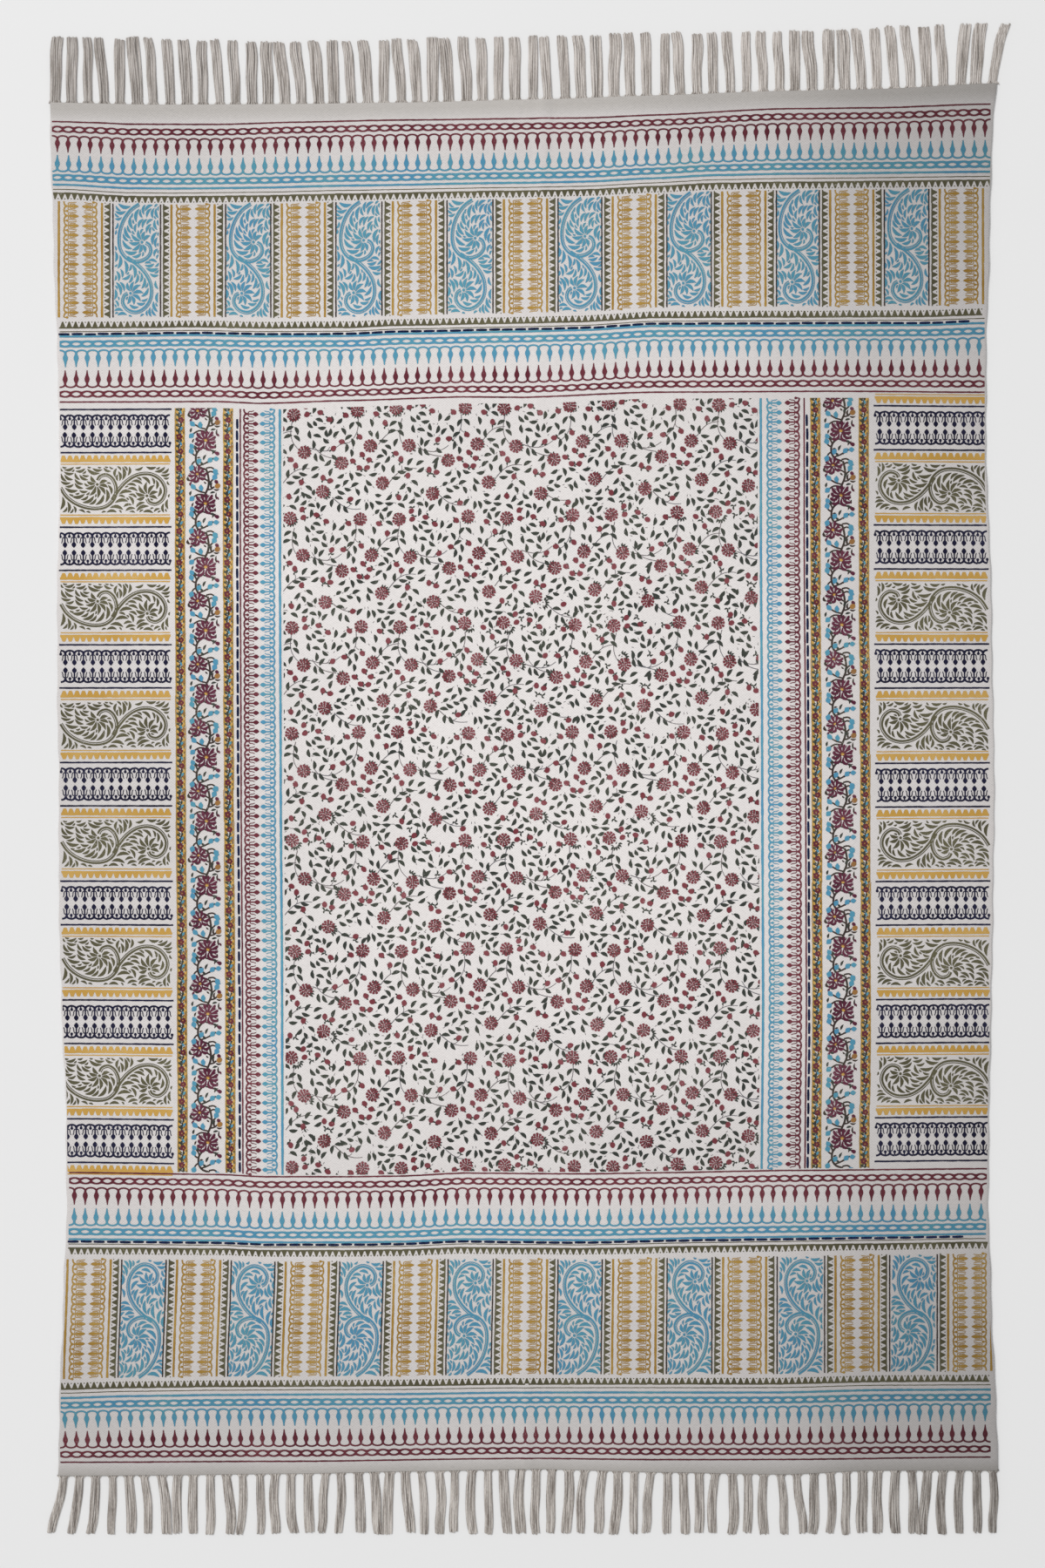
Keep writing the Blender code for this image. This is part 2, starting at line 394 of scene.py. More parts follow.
def lay_on_cloth(mesh, lift=0.0, bare=None):
    """Moves what was drawn flat to where it lies on the cloth, and leaves its sides bare if asked."""
    places = places_of(mesh)
    x, y = as_printed(places[:, 0], places[:, 1])
    if bare is not None:
        x = np.clip(x, smooth_at(LEFT_SIDE, y) + bare, smooth_at(RIGHT_SIDE, y) - bare)
    places = np.stack([x, y, cloth_top(x, y) + lift + places[:, 2]], axis=1) * MM
    mesh.vertices.foreach_set("co", places.ravel())


# Nodes


def set_inputs(tree, node, inputs):
    """Gives a node its inputs. Each is a value, or an output to link."""
    for name, value in inputs.items():
        if isinstance(value, bpy.types.NodeSocket):
            tree.links.new(value, node.inputs[name])
        else:
            node.inputs[name].default_value = value


def add_node(tree, kind, inputs=(), **settings):
    """A node with its settings and inputs."""
    made = tree.nodes.new(kind)
    for name, value in settings.items():
        setattr(made, name, value)
    set_inputs(tree, made, dict(inputs))
    return made


def maths(tree, operation, first, second=0.0, third=0.0):
    """The result of one Math node."""
    inputs = {0: first, 1: second, 2: third}
    return add_node(tree, "ShaderNodeMath", inputs, operation=operation).outputs[0]


def vector_maths(tree, operation, first, second=None, scale=None):
    """The result of one Vector Math node, from two vectors or from one and a scale."""
    inputs = {0: first, 1: second} if scale is None else {0: first, "Scale": scale}
    made = add_node(tree, "ShaderNodeVectorMath", inputs, operation=operation)
    return made.outputs["Value" if operation == "DISTANCE" else 0]


def noise(tree, place, scale, detail, output=0):
    """The value, or another output, of one Noise Texture node."""
    inputs = {"Vector": place, "Scale": scale, "Detail": detail}
    return add_node(tree, "ShaderNodeTexNoise", inputs).outputs[output]


def ramp(tree, value, start, stop, low=0.0, high=1.0, kind="LINEAR"):
    """A value brought from the range between start and stop to the one between low and high."""
    inputs = {"Value": value, "From Min": start, "From Max": stop, "To Min": low, "To Max": high}
    return add_node(tree, "ShaderNodeMapRange", inputs, interpolation_type=kind).outputs[0]


def mixed_colour(tree, share, first, second):
    """A share of the second colour in the first."""
    inputs = {"Factor": share, "A": first, "B": second}
    return add_node(tree, "ShaderNodeMix", inputs, data_type="RGBA").outputs["Result"]


def new_group(name, kind, inputs, outputs):
    """A node group with named sockets, and its input and output nodes."""
    tree = bpy.data.node_groups.new(name, kind)
    for label, socket, value in inputs:
        made = tree.interface.new_socket(label, in_out="INPUT", socket_type=socket)
        if value is not None:
            made.default_value = value
    for label, socket in outputs:
        tree.interface.new_socket(label, in_out="OUTPUT", socket_type=socket)
    return tree, tree.nodes.new("NodeGroupInput").outputs, tree.nodes.new("NodeGroupOutput").inputs


# Drawing of the print


def beside(route, widths):
    """The lines half of each width to the left and to the right of a route."""
    left = []
    right = []
    for index, (x, y) in enumerate(route):
        back = route[max(index - 1, 0)]
        on = route[min(index + 1, len(route) - 1)]
        dx, dy = on[0] - back[0], on[1] - back[1]
        reach = (math.hypot(dx, dy) or 1.0) * 2 / widths[index]
        left.append((x - dy / reach, y + dx / reach))
        right.append((x + dy / reach, y - dx / reach))
    return left, right


def smooth(points, steps=4):
    """A smooth route through the points."""
    ends = [points[0], *points, points[-1]]
    route = []
    for a, b, c, d in zip(ends, ends[1:], ends[2:], ends[3:]):
        for step in range(steps):
            t = step / steps
            route.append(tuple(
                0.5 * (2 * b[i] + (c[i] - a[i]) * t + (2 * a[i] - 5 * b[i] + 4 * c[i] - d[i]) * t**2
                       + (3 * b[i] - a[i] - 3 * c[i] + d[i]) * t**3)
                for i in (0, 1)
            ))
    return [*route, points[-1]]


def turned(point, turn):
    """A point turned about the origin."""
    x, y = point
    return x * math.cos(turn) - y * math.sin(turn), x * math.sin(turn) + y * math.cos(turn)


def away(point, turn, far):
    """The point that lies that far from another in a direction."""
    return point[0] + far * math.cos(turn), point[1] + far * math.sin(turn)


# Outlines of printed shapes, from their foot to their tip: share of the length, share of the width
LEAF = ((0, 0.14), (0.17, 0.68), (0.4, 1), (0.62, 0.9), (0.83, 0.5), (1, 0.04))
PETAL = ((0, 0.35), (0.3, 0.8), (0.65, 1), (0.88, 0.8), (1, 0.3))
DROP = ((0, 0.46), (0.1, 0.48), (0.22, 0.84), (0.34, 1), (0.46, 0.9), (0.6, 0.56), (0.78, 0.34),
        (1, 0.18))
SPEAR = ((0, 0.42), (0.2, 0.3), (0.54, 0.32), (0.63, 0.74), (0.73, 1), (0.84, 0.86), (0.94, 0.42),
         (1, 0.08))
BROAD_SPEAR = ((0, 0.4), (0.22, 0.4), (0.4, 0.7), (0.62, 1), (0.8, 0.9), (0.92, 0.5), (1, 0.08))
TEAR = ((0, 0.3), (0.35, 0.44), (0.6, 0.9), (0.8, 1), (0.93, 0.7), (1, 0.2))
BUD = ((0, 0.4), (0.25, 0.92), (0.55, 1), (0.82, 0.74), (1, 0.2))
SICKLE = ((0, 0.12), (0.16, 0.56), (0.36, 0.94), (0.55, 1), (0.76, 0.78), (0.9, 0.42), (1, 0.04))
SQUARE_LEAF = ((0, 0.14), (0.2, 0.6), (0.45, 1), (0.66, 0.86), (0.84, 0.46), (1, 0.08))


def outline(form, at, turn, length, width, bend=0.0):
    """The middle line and the widths of a form from its foot at a place, bent to one side."""
    route = []
    for share, _ in form:
        x, y = turned((share * length, bend * length * math.sin(math.pi * share)), turn)
        route.append((at[0] + x, at[1] + y))
    return route, [max(part * width, 0.02) for _, part in form]


def spots(route, widths):
    """The round spots that a shape covers."""
    return [(x, y, width / 2) for (x, y), width in zip(route, widths)]


class Drawing:
    """Flat shapes for one ink, in millimetres."""

    def __init__(self):
        self.points = []
        self.faces = []
        self.shapes = 0

    def lifted(self, points):
        """The points of one more shape, at its own height, so that shapes may overlap."""
        self.shapes += 1
        z = self.shapes % SHAPE_LEVELS * SHAPE_LIFT
        return [(x, y, z) for x, y in points]

    def band(self, left, right):
        """Fills the strip between two lines of as many points."""
        first = len(self.points)
        count = len(left)
        self.points += self.lifted([*left, *right])
        for i in range(first, first + count - 1):
            self.faces.append((i, i + count, i + count + 1, i + 1))

    def line(self, route, width):
        """A line of one width, or of a width for each point."""
        widths = width if hasattr(width, "__len__") else [width] * len(route)
        self.band(*beside(route, widths))

    def shape(self, *form_and_place):
        """A form, as outline takes it. Gives back its spots."""
        route, widths = outline(*form_and_place)
        self.line(route, widths)
        return spots(route, widths)

    def dot(self, at, radius, sides=7):
        """A filled round dot."""
        first = len(self.points)
        self.points += self.lifted([away(at, 2 * math.pi * i / sides, radius) for i in range(sides)])
        self.faces.append(tuple(range(first, first + sides)))

    def block(self, name):
        """The drawing as an object, for the nodes that repeat it."""
        mesh = bpy.data.meshes.new(name)
        mesh.from_pydata(self.points, [], self.faces)
        return new_object(name, mesh)


def chain_link(hole, waist):
    """One link of a chain: two lines round an eye, full where they meet."""
    art = Drawing()
    steps = 10
    eye = 0.8                    # its share of the link's length
    for side in (1, -1):
        outer = []
        inner = []
        for i in range(steps + 1):
            share = 2 * i / steps - 1
            x = share * DROP_PITCH / 2
            outer.append((x, side * (CHAIN_HALF - waist * math.sin(share * QUARTER) ** 4)))
            inner.append((x, side * hole * max(0, 1 - (abs(share) / eye) ** 2)))
        art.band(outer, inner)
    return art


def arch(rise, weight):
    """One arch of a row, from cusp to cusp, bulging towards -y."""
    art = Drawing()
    steps = 8
    route = []
    widths = []
    for i in range(steps + 1):
        angle = math.pi * i / steps
        route.append((-DROP_PITCH / 2 * math.cos(angle), -rise * math.sin(angle)))
        widths.append(weight * (1 + 0.35 * abs(math.cos(angle)) ** 3))
    art.line(route, widths)
    return art


def drop(length, width):
    """A long drop with its bulb at the foot and its tip at +y."""
    art = Drawing()
    art.shape(DROP, (0, 0), QUARTER, length, width)
    return art


def sawtooth(solid, height, blunt, mark, foot=0.84):
    """One tooth of a row: a solid edge, a tooth towards +y and a small mark in the next notch."""
    art = Drawing()
    half = SAW_PITCH / 2
    over = half + 0.6            # neighbours overlap, so that the edge has no gaps
    low = solid * 0.9
    foot *= half
    art.band([(-over, 0), (-over, solid)], [(over, 0), (over, solid)])
    art.band([(-foot, low), (-blunt, height)], [(foot, low), (blunt, height)])
    if mark:
        art.dot((half, height - mark), mark, 5)
    return art


# The curl beside a spear, and a second line inside it on the rich crests
CURL = ((0.5, 6.4), (2.4, 6.7), (3.3, 8.6), (3.4, 10.8), (4.5, 13.6))
RICH_CURL = ((1.0, 7.4), (2.8, 6.6), (4.3, 7.8), (4.4, 11.6), (5.2, 18.2))
RICH_INNER_CURL = ((1.2, 9.6), (2.3, 9.2), (2.8, 11.2), (3.0, 16.6))
CURL_WIDTH = 1.2
# The scallops that join a row of crests, and the ball and the spears over them: length, width
SCALLOP_FOOT = 0.9
SCALLOP_DEEP = 3.9
SCALLOP_WIDTHS = (1.9, 1.9, 2.0, 2.2, 2.6, 2.9)
BALL = (6.0, 3.2)
BALL_FOOT = 1.2
SPEAR_FOOT = 4.0
PLAIN_SPEAR = (15.4, 5.6)
RICH_SPEAR = (17.4, 4.2)


def crest(weight=1.0, rich=False):
    """One crest of a row: half a scallop each side, a ball, and a spear between curls, to +y."""
    art = Drawing()
    half = CREST_PITCH / 2
    for side in (1, -1):
        route = []
        for i in range(len(SCALLOP_WIDTHS)):
            angle = QUARTER * i / (len(SCALLOP_WIDTHS) - 1)
            up = SCALLOP_FOOT + SCALLOP_DEEP * (1 - math.cos(angle))
            route.append((side * half * (1 - math.sin(angle)), up))
        art.line(route, [weight * wide for wide in SCALLOP_WIDTHS])
        for curl in (RICH_CURL, RICH_INNER_CURL) if rich else (CURL,):
            curled = smooth([(side * x, y) for x, y in curl], 2)
            last = len(curled) - 1
            art.line(curled, [weight * CURL_WIDTH * (1 - 0.25 * i / last) for i in range(last + 1)])
    art.shape(TEAR, (half, BALL_FOOT), QUARTER, BALL[0], BALL[1] * weight)
    if rich:
        art.shape(BROAD_SPEAR, (0, SPEAR_FOOT), QUARTER, *RICH_SPEAR)
    else:
        length, width = PLAIN_SPEAR
        art.shape(SPEAR, (0, SPEAR_FOOT), QUARTER, length, width * (0.5 + 0.5 * weight))
    return art


class Taken:
    """Round spots already inked, for shapes that have to stay clear of them."""

    def __init__(self):
        self.spots = np.empty((0, 3))

    def free(self, mine, gap):
        """Whether all of these spots are that far from all that are taken."""
        mine = np.array(mine)
        far = np.hypot(mine[:, None, 0] - self.spots[:, 0], mine[:, None, 1] - self.spots[:, 1])
        return bool((far > mine[:, None, 2] + self.spots[:, 2] + gap).all())

    def take(self, mine):
        """Adds spots to those that are taken."""
        self.spots = np.vstack([self.spots, mine])


# The scroll block, and its stems from root to tip
SCROLL_SIZE = (141.0, 61.0)
SCROLL_STEMS = (
    ((-70, 3), (-62, -9), (-48, -19), (-30, -24), (-13, -22), (-2, -12), (1, 1), (-3, 13),
     (-11, 19), (-19, 17), (-22, 12)),
    ((-4, -13), (4, 0), (15, 12), (29, 20), (45, 21), (58, 14), (65, 1), (62, -12), (53, -19),
     (44, -17), (41, -12)),
)
# Each stem is a bold line and a thin one beside it: how far apart, and how wide
STEM_APART = 2.7
STEM_BOLD = 2.6
STEM_THIN = 1.2
STEM_CLEAR = 3.0
Blossom = namedtuple("Blossom", "x y turn")
SCROLL_BLOSSOMS = (Blossom(-23, 7, -1.9), Blossom(41, -8, 1.5))
BLOSSOM_HEART = 2.0
BLOSSOM_PETALS = 10
PETAL_FOOT = 3.0
PETAL_WIDTH = 4.6
# Where a petal meets something else it is printed shorter, by these shares, or not at all
PETAL_SHARES = (1.0, 0.85, 0.7, 0.5)
PETAL_OVERLAP = 0.6
# Leaves stand on the stems in fans, then fill what is left of the ground, longest first
FAN_APART = 7.0
FAN_LEANS = (0.45, 0.85, 1.25)
FAN_LEAVES = (17.0, 14.5, 12.0, 9.5)
FILL_LEAVES = (13.0, 11.0, 9.0, 7.4, 6.0, 4.8)
FILL_LEANS = (0.5, 0.9, 0.1, 1.3, 1.7)
FILL_ROWS, FILL_COLUMNS = 11, 27
FILL_APART = (2.6, 2.7)
SCROLL_GAP = 0.7


def scroll_leaf(at, turn, length, side):
    """A leaf of the scrolls, bent to one side."""
    width = 1.3 + length * 0.19
    return outline(SICKLE, at, turn, length, width, side * 0.17)


def scroll_block():
    """A double stem that sweeps into two loops round a blossom each, the ground full of leaves."""
    art = Drawing()
    taken = Taken()
    half_wide, half_high = SCROLL_SIZE[0] / 2, SCROLL_SIZE[1] / 2
    stems = [smooth(stem, 4) for stem in SCROLL_STEMS]
    for stem in stems:
        for line, wide in zip(beside(stem, [STEM_APART] * len(stem)), (STEM_THIN, STEM_BOLD)):
            art.line(line, wide)
        taken.take([(x, y, STEM_CLEAR) for x, y in stem])

    def lay(leaf, gap):
        """Prints a leaf if it is inside the block and clear of the rest."""
        places = spots(*leaf)
        inside = all(abs(x) < half_wide and abs(y) < half_high for x, y, _ in places)
        if inside and taken.free(places, gap):
            art.line(*leaf)
            return places
        return []

    for blossom in SCROLL_BLOSSOMS:
        at = (blossom.x, blossom.y)
        petals = [(*at, PETAL_FOOT)]
        art.dot(at, BLOSSOM_HEART)
        for i in range(BLOSSOM_PETALS):
            turn = 2 * math.pi * i / BLOSSOM_PETALS + 0.2
            reach = 11.0 + 4.0 * max(0, math.cos(turn - blossom.turn))
            for share in PETAL_SHARES:
                petal = outline(SQUARE_LEAF, away(at, turn, PETAL_FOOT), turn + 0.15, reach * share,
                                PETAL_WIDTH * (0.5 + 0.5 * share), 0.16)
                laid = lay(petal, -PETAL_OVERLAP)
                petals += laid
                if laid:
                    break
        taken.take([(x, y, r + 0.1) for x, y, r in petals])
    for stem in stems:
        since = FAN_APART / 2
        for (x, y), after in zip(stem, stem[1:]):
            since += math.dist((x, y), after)
            if since < FAN_APART:
                continue
            since = 0.0
            along = math.atan2(after[1] - y, after[0] - x)
            for side in (1, -1):
                foot = away((x, y), along + side * QUARTER, STEM_CLEAR + 0.9)
                for lean in FAN_LEANS:
                    turn = along + side * lean
                    for length in FAN_LEAVES:
                        leaf = scroll_leaf(away(foot, turn, 0.8), turn, length, -side)
                        laid = lay(leaf, SCROLL_GAP)
                        if laid:
                            taken.take(laid[1:])
                            break
    rng = random.Random(5)
    flow = [(point, after) for stem in stems for point, after in zip(stem, stem[1:])]
    grounds = []
    for row in range(-FILL_ROWS, FILL_ROWS + 1):
        for column in range(-FILL_COLUMNS, FILL_COLUMNS + 1):
            at = (column * FILL_APART[0] + rng.uniform(-1, 1), row * FILL_APART[1] + rng.uniform(-1, 1))
            (x, y), after = min(flow, key=lambda pair: math.dist(pair[0], at))
            side = 1 if (at[0] - x) * (after[1] - y) < (at[1] - y) * (after[0] - x) else -1
            grounds.append((at, math.atan2(after[1] - y, after[0] - x), side))
    rng.shuffle(grounds)
    for length in FILL_LEAVES:
        for at, along, side in grounds:
            for lean in FILL_LEANS:
                laid = lay(scroll_leaf(at, along + side * lean, length, -side), SCROLL_GAP)
                if laid:
                    taken.take(laid)
                    break
    return art


# Stems and shapes of the vine border: x across it, y along it, over one period
VINE_STEMS = (
    ((4, 83), (6, 76), (7, 68), (6, 60), (3, 53), (1, 47)),
    ((0, 29), (-5, 27), (-10, 20), (-10, 10), (-5, 3), (4, 0)),
    ((7, 68), (2, 71), (-3, 73)), ((7, 66), (11, 69), (13, 72)), ((5, 57), (10, 58), (14, 61)),
    ((3, 53), (-5, 55), (-12, 59)), ((2, 50), (-7, 51), (-14, 47)), ((-10, 18), (-14, 20), (-16, 23)),
    ((-10, 12), (-14, 9), (-16, 5)), ((-7, 5), (1, 8), (6, 11)), ((3, 2), (9, 3), (13, 1)),
    ((5, 79), (9, 81), (13, 80)), ((4, 9), (9, 13), (13, 15)), ((-9, 21), (-11, 26), (-14, 30)),
    ((0, 28), (7, 26), (14, 24)),
)
# The thicker stem is the one that runs on, and the others branch off it
VINE_STEM = 2.7
VINE_BRANCH = 2.1
# Leaves, buds and petals between them, ink by ink: x, y, turn, length, width, bend
VINE_MARKS = (
    ("blue", SQUARE_LEAF, (
        (11, 70, 1.0, 8.6, 7.0, 0), (-11, 58, 2.3, 8.8, 6.6, 0.1), (-13, 48, 3.9, 8.2, 6.8, 0),
        (-15, 7, 4.4, 8.6, 7.0, 0), (-8, 8, 1.0, 8.0, 6.6, 0.1), (-15, 21, 1.9, 8.4, 7.0, 0),
        (12, 1, 5.4, 8.2, 6.8, 0), (-3, 55, 1.7, 8.6, 6.2, 0.1), (5, 10, 0.8, 8.4, 6.6, 0),
        (11, 80, -0.3, 7.4, 6.2, 0), (12, 14, 0.1, 7.6, 6.4, 0), (-13, 29, 2.2, 7.4, 6.2, 0.1),
    )),
    ("ochre", BUD, ((14, 60, 0.6, 7.4, 6.6, 0),)),
    ("stem", LEAF, (
        (12, 57.5, 1.6, 9.0, 2.8, 0.25), (13, 58, 0.0, 8.0, 2.4, -0.2),
        (11, 20, 0.8, 7.4, 2.4, 0.2), (15, 28, 1.5, 5.6, 2.6, 0.1), (17, 44, 1.6, 9.6, 2.4, 0.1),
        (-17, 69, 2.0, 6.8, 3.6, 0.3), (-15, 35, 1.2, 6.0, 2.4, 0.1), (3, 74, 2.6, 5.6, 2.4, 0.1),
        (13, 13, 0.3, 5.0, 2.6, 0.1), (4, 65, 2.4, 4.6, 2.2, 0.1), (-9, 15, 0.2, 4.8, 2.2, 0.1),
    )),
    ("leaf", LEAF, (
        (6, 62, 0.9, 7.0, 3.4, 0.1), (-1, 6, 2.4, 6.4, 3.0, -0.1), (-1, 13, 1.1, 8.0, 3.0, 0.1),
        (-8, 27, 2.3, 7.4, 3.2, 0.1), (8, 52, 0.2, 7.0, 2.8, 0.1), (-9, 66, 2.6, 7.2, 3.2, 0.1),
        (9, 26, 5.6, 7.0, 3.4, 0.1), (-18, 49, 1.3, 6.4, 3.0, 0.1),
    )),
    ("plum", PETAL, ((14, 23, 5.8, 6.4, 5.0, 0),)),
    ("plum", LEAF, ((-17, 62, 1.2, 5.6, 3.0, 0.2), (16, 47, 5.4, 5.0, 2.6, 0.2))),
    ("plum", BUD, ((15, 69, -0.9, 5.6, 4.6, 0),)),
)
# Flowers, seen from the side: petals fan from one side of the foot round to the other
Flower = namedtuple("Flower", "x y turn petals heart length width")
VINE_FLOWERS = (Flower(2.0, 38, 1.4, 11, 3.6, 10.8, 4.0), Flower(-8.0, 77, 2.0, 9, 2.8, 9.0, 3.7))
PETAL_FAN = 5.4
# Widths of a flower's smaller petals, of the marks between the large ones, and of its calyx
INNER_PETAL = 1.5
PETAL_VEIN = 1.2
CALYX = 2.6


def vine_flower(arts, flower):
    """One flower of the vine, with a yellow heart, small inner petals and a green calyx."""
    at = (flower.x, flower.y)
    back = flower.turn + math.pi
    heart = flower.heart
    last = flower.petals - 1
    for i in range(flower.petals):
        share = i / last - 0.5
        turn = flower.turn + PETAL_FAN * share
        length = flower.length * (1 + 0.12 * math.sin(i * 2.1))
        curl = 0.7 * share
        arts["plum"].shape(PETAL, away(at, turn, heart), turn - curl, length, flower.width, curl)
    for i in range(last):
        turn = flower.turn + PETAL_FAN * ((i + 0.5) / last - 0.5)
        arts["plum"].shape(LEAF, away(at, turn, heart * 0.5), turn, heart, INNER_PETAL)
        tip = away(at, turn, heart + flower.length * 0.5)
        arts["plum"].shape(LEAF, tip, turn, flower.length * 0.42, PETAL_VEIN, 0.1)
    for lean in (-0.6, 0.0, 0.6):
        arts["mustard"].shape(BUD, away(at, back, 0.8), flower.turn + lean, heart * 1.7, heart * 0.8)
    for side in (1, -1):
        arts["leaf"].shape(LEAF, away(at, back, 1.0), back + side * 0.9, heart * 2.6, CALYX, side * 0.3)


def vine_blocks():
    """One period of the vine border, ink by ink."""
    arts = {ink: Drawing() for ink in ("stem", "blue", "plum", "mustard", "ochre", "leaf")}
    for stem in VINE_STEMS:
        arts["stem"].line(smooth(stem, 3), VINE_STEM if len(stem) > 3 else VINE_BRANCH)
    for ink, form, marks in VINE_MARKS:
        for x, y, turn, length, width, bend in marks:
            arts[ink].shape(form, (x, y), turn, length, width, bend)
    for flower in VINE_FLOWERS:
        vine_flower(arts, flower)
    return arts


# The narrow many-coloured border: how far its edges stand from its middle, their waves, its stem
MIXED_EDGE = 5.9
MIXED_WAVE = 0.3
MIXED_WAVES = 3
MIXED_EDGE_WIDTH = 1.3
MIXED_INNER_EDGE = 1.6
MIXED_STEPS = 12
MIXED_STEM = 2.1
MIXED_STEM_SWELL = 0.8
MIXED_STEM_SWAY = 1.5
# The inks of its outer buds in turn, and the place and petal length of its two flowers
MIXED_BUDS = ("mustard", "brass", "mustard", "mustard", "ochre", "mustard")
MIXED_FLOWERS = (((-1.0, 9), 4.0), ((1.0, 31), 3.6))


def mixed_blocks():
    """One period of the narrow many-coloured border: edges, a leafy dark stem, flowers, buds."""
    arts = {ink: Drawing() for ink in ("mustard", "olive", "brass", "leaf", "maroon", "blue", "ochre")}
    steps = MIXED_STEPS
    for side in (1, -1):
        route = []
        widths = []
        for i in range(steps + 1):
            wave = MIXED_WAVE * math.sin(2 * math.pi * (MIXED_WAVES * i / steps + 0.25 * side))
            route.append((side * (MIXED_EDGE + wave), MIXED_PERIOD * i / steps))
            widths.append(MIXED_EDGE_WIDTH - wave)
        arts["brass"].line(route, widths)
        arts["olive"].line([(x - side * MIXED_EDGE_WIDTH, y) for x, y in route], MIXED_INNER_EDGE)
    stem = [
        (MIXED_STEM_SWAY * math.sin(4 * math.pi * i / steps), MIXED_PERIOD * i / steps)
        for i in range(steps + 1)
    ]
    arts["leaf"].line(stem, [MIXED_STEM + MIXED_STEM_SWELL * (i % 2) for i in range(steps + 1)])
    for i in range(steps):
        y = MIXED_PERIOD * (i + 0.4) / steps
        side = 1 if i % 2 else -1
        arts["leaf"].shape(LEAF, (0.4 * side, y), QUARTER - side * 1.0, 5.4, 2.3, 0.1)
        arts["olive"].shape(LEAF, (-0.4 * side, y - 1.0), QUARTER + side * 0.9, 5.6, 3.4, 0.1)
        ink = MIXED_BUDS[i % len(MIXED_BUDS)]
        arts[ink].shape(BUD, (-3.2 * side, y + 0.1), QUARTER + side * 0.4, 4.4, 3.0)
        ink = "mustard" if side == 1 else "olive"
        arts[ink].shape(BUD, (3.0 * side, y + 0.8), QUARTER + side * 0.3, 3.8, 2.6)
    for at, length in MIXED_FLOWERS:
        for i in range(5):
            turn = 2 * math.pi * i / 5
            arts["maroon"].shape(PETAL, away(at, turn, 0.3), turn, length, 3.4)
        arts["ochre"].dot(at, 1.1, 6)
    arts["blue"].shape(LEAF, (0.8, 17.4), 1.1, 5.4, 3.0)
    arts["blue"].shape(LEAF, (1.8, 38.8), 1.9, 4.8, 2.8)
    return arts


# The field's sprigs: where each flower stands in the block, its calyx's direction, and its stem
Sprig = namedtuple("Sprig", "x y turn bend reach")
FIELD_SPRIGS = (
    Sprig(37.4, 102.7, -2.0, 0.2, 34), Sprig(87.6, 102.0, -1.25, -0.24, 42),
    Sprig(52.3, 55.3, 0.45, 0.22, 34), Sprig(102.4, 52.5, 0.2, -0.24, 40),
    Sprig(14.8, 34.9, 2.5, 0.2, 36), Sprig(66.4, 5.9, 0.35, 0.24, 40),
    Sprig(130.7, 134.4, -0.3, -0.2, 40),
)
FLOWER_RADIUS = 8.8
# Rings of a field flower: petals, foot, length, width
FLOWER_RINGS = ((11, 5.3, 3.5, 3.7), (8, 2.7, 3.0, 3.0), (4, 0.5, 2.4, 2.4))
# Dark marks between the rings: how far out, where they start, how many, and their widths
RING_MARKS = ((5.4, 0.5, 5), (2.8, 1.2, 3))
RING_MARK_WIDTHS = (0.5, 1.1, 1.0, 0.4)
CALYX_LEAVES = 6
# Stems, from foot to tip, and the leaves beside them
STEM_STEPS = 8
STEM_WIDTH = 1.2
STEM_BUD_STEPS = {4: 1, 8: -1}   # the steps with a bud, and on which side
SIDE_LEAVES = (11.4, 9.4)
FIELD_LEAF_WIDTH = 4.9
LEAF_LEFT_OUT = 0.6              # of the leaves on the side where none is due
# Buds and their sepals: lean and length
BUD_SIZE = (7.8, 6.6)
SEPALS = ((0.75, 5.6), (-0.8, 5.0), (3.0, 3.4))
SEPAL_WIDTH = 2.3
# Loose leaves and buds in what is left of the ground, longest first
LOOSE_LEAVES = (11, 10, 9, 8)
LOOSE_TRIES = 260
LOOSE_BUDS = 0.34
LOOSE_GAP = 1.4
STEM_GAP = 0.5


def field_flower(arts, at, turn):
    """A round flower of scales in three rings, dark between them and in its calyx."""
    for petals, foot, length, width in FLOWER_RINGS:
        for i in range(petals):
            way = 2 * math.pi * i / petals + turn + foot
            uneven = 1 + 0.14 * math.sin(3.3 * i + foot)
            arts["rose"].shape(PETAL, away(at, way, foot), way, length * uneven, width)
    for radius, start, marks in RING_MARKS:
        for i in range(marks):
            way = turn + start + 2 * math.pi * i / marks
            ring = [away(at, way + 0.2 * step, radius) for step in range(len(RING_MARK_WIDTHS))]
            arts["dark"].line(ring, RING_MARK_WIDTHS)
    for i in range(CALYX_LEAVES):
        way = turn + 0.4 * (i - (CALYX_LEAVES - 1) / 2)
        arts["leaf"].shape(LEAF, away(at, way, 4.8), way + 0.3, 5.4, 2.6, 0.2)


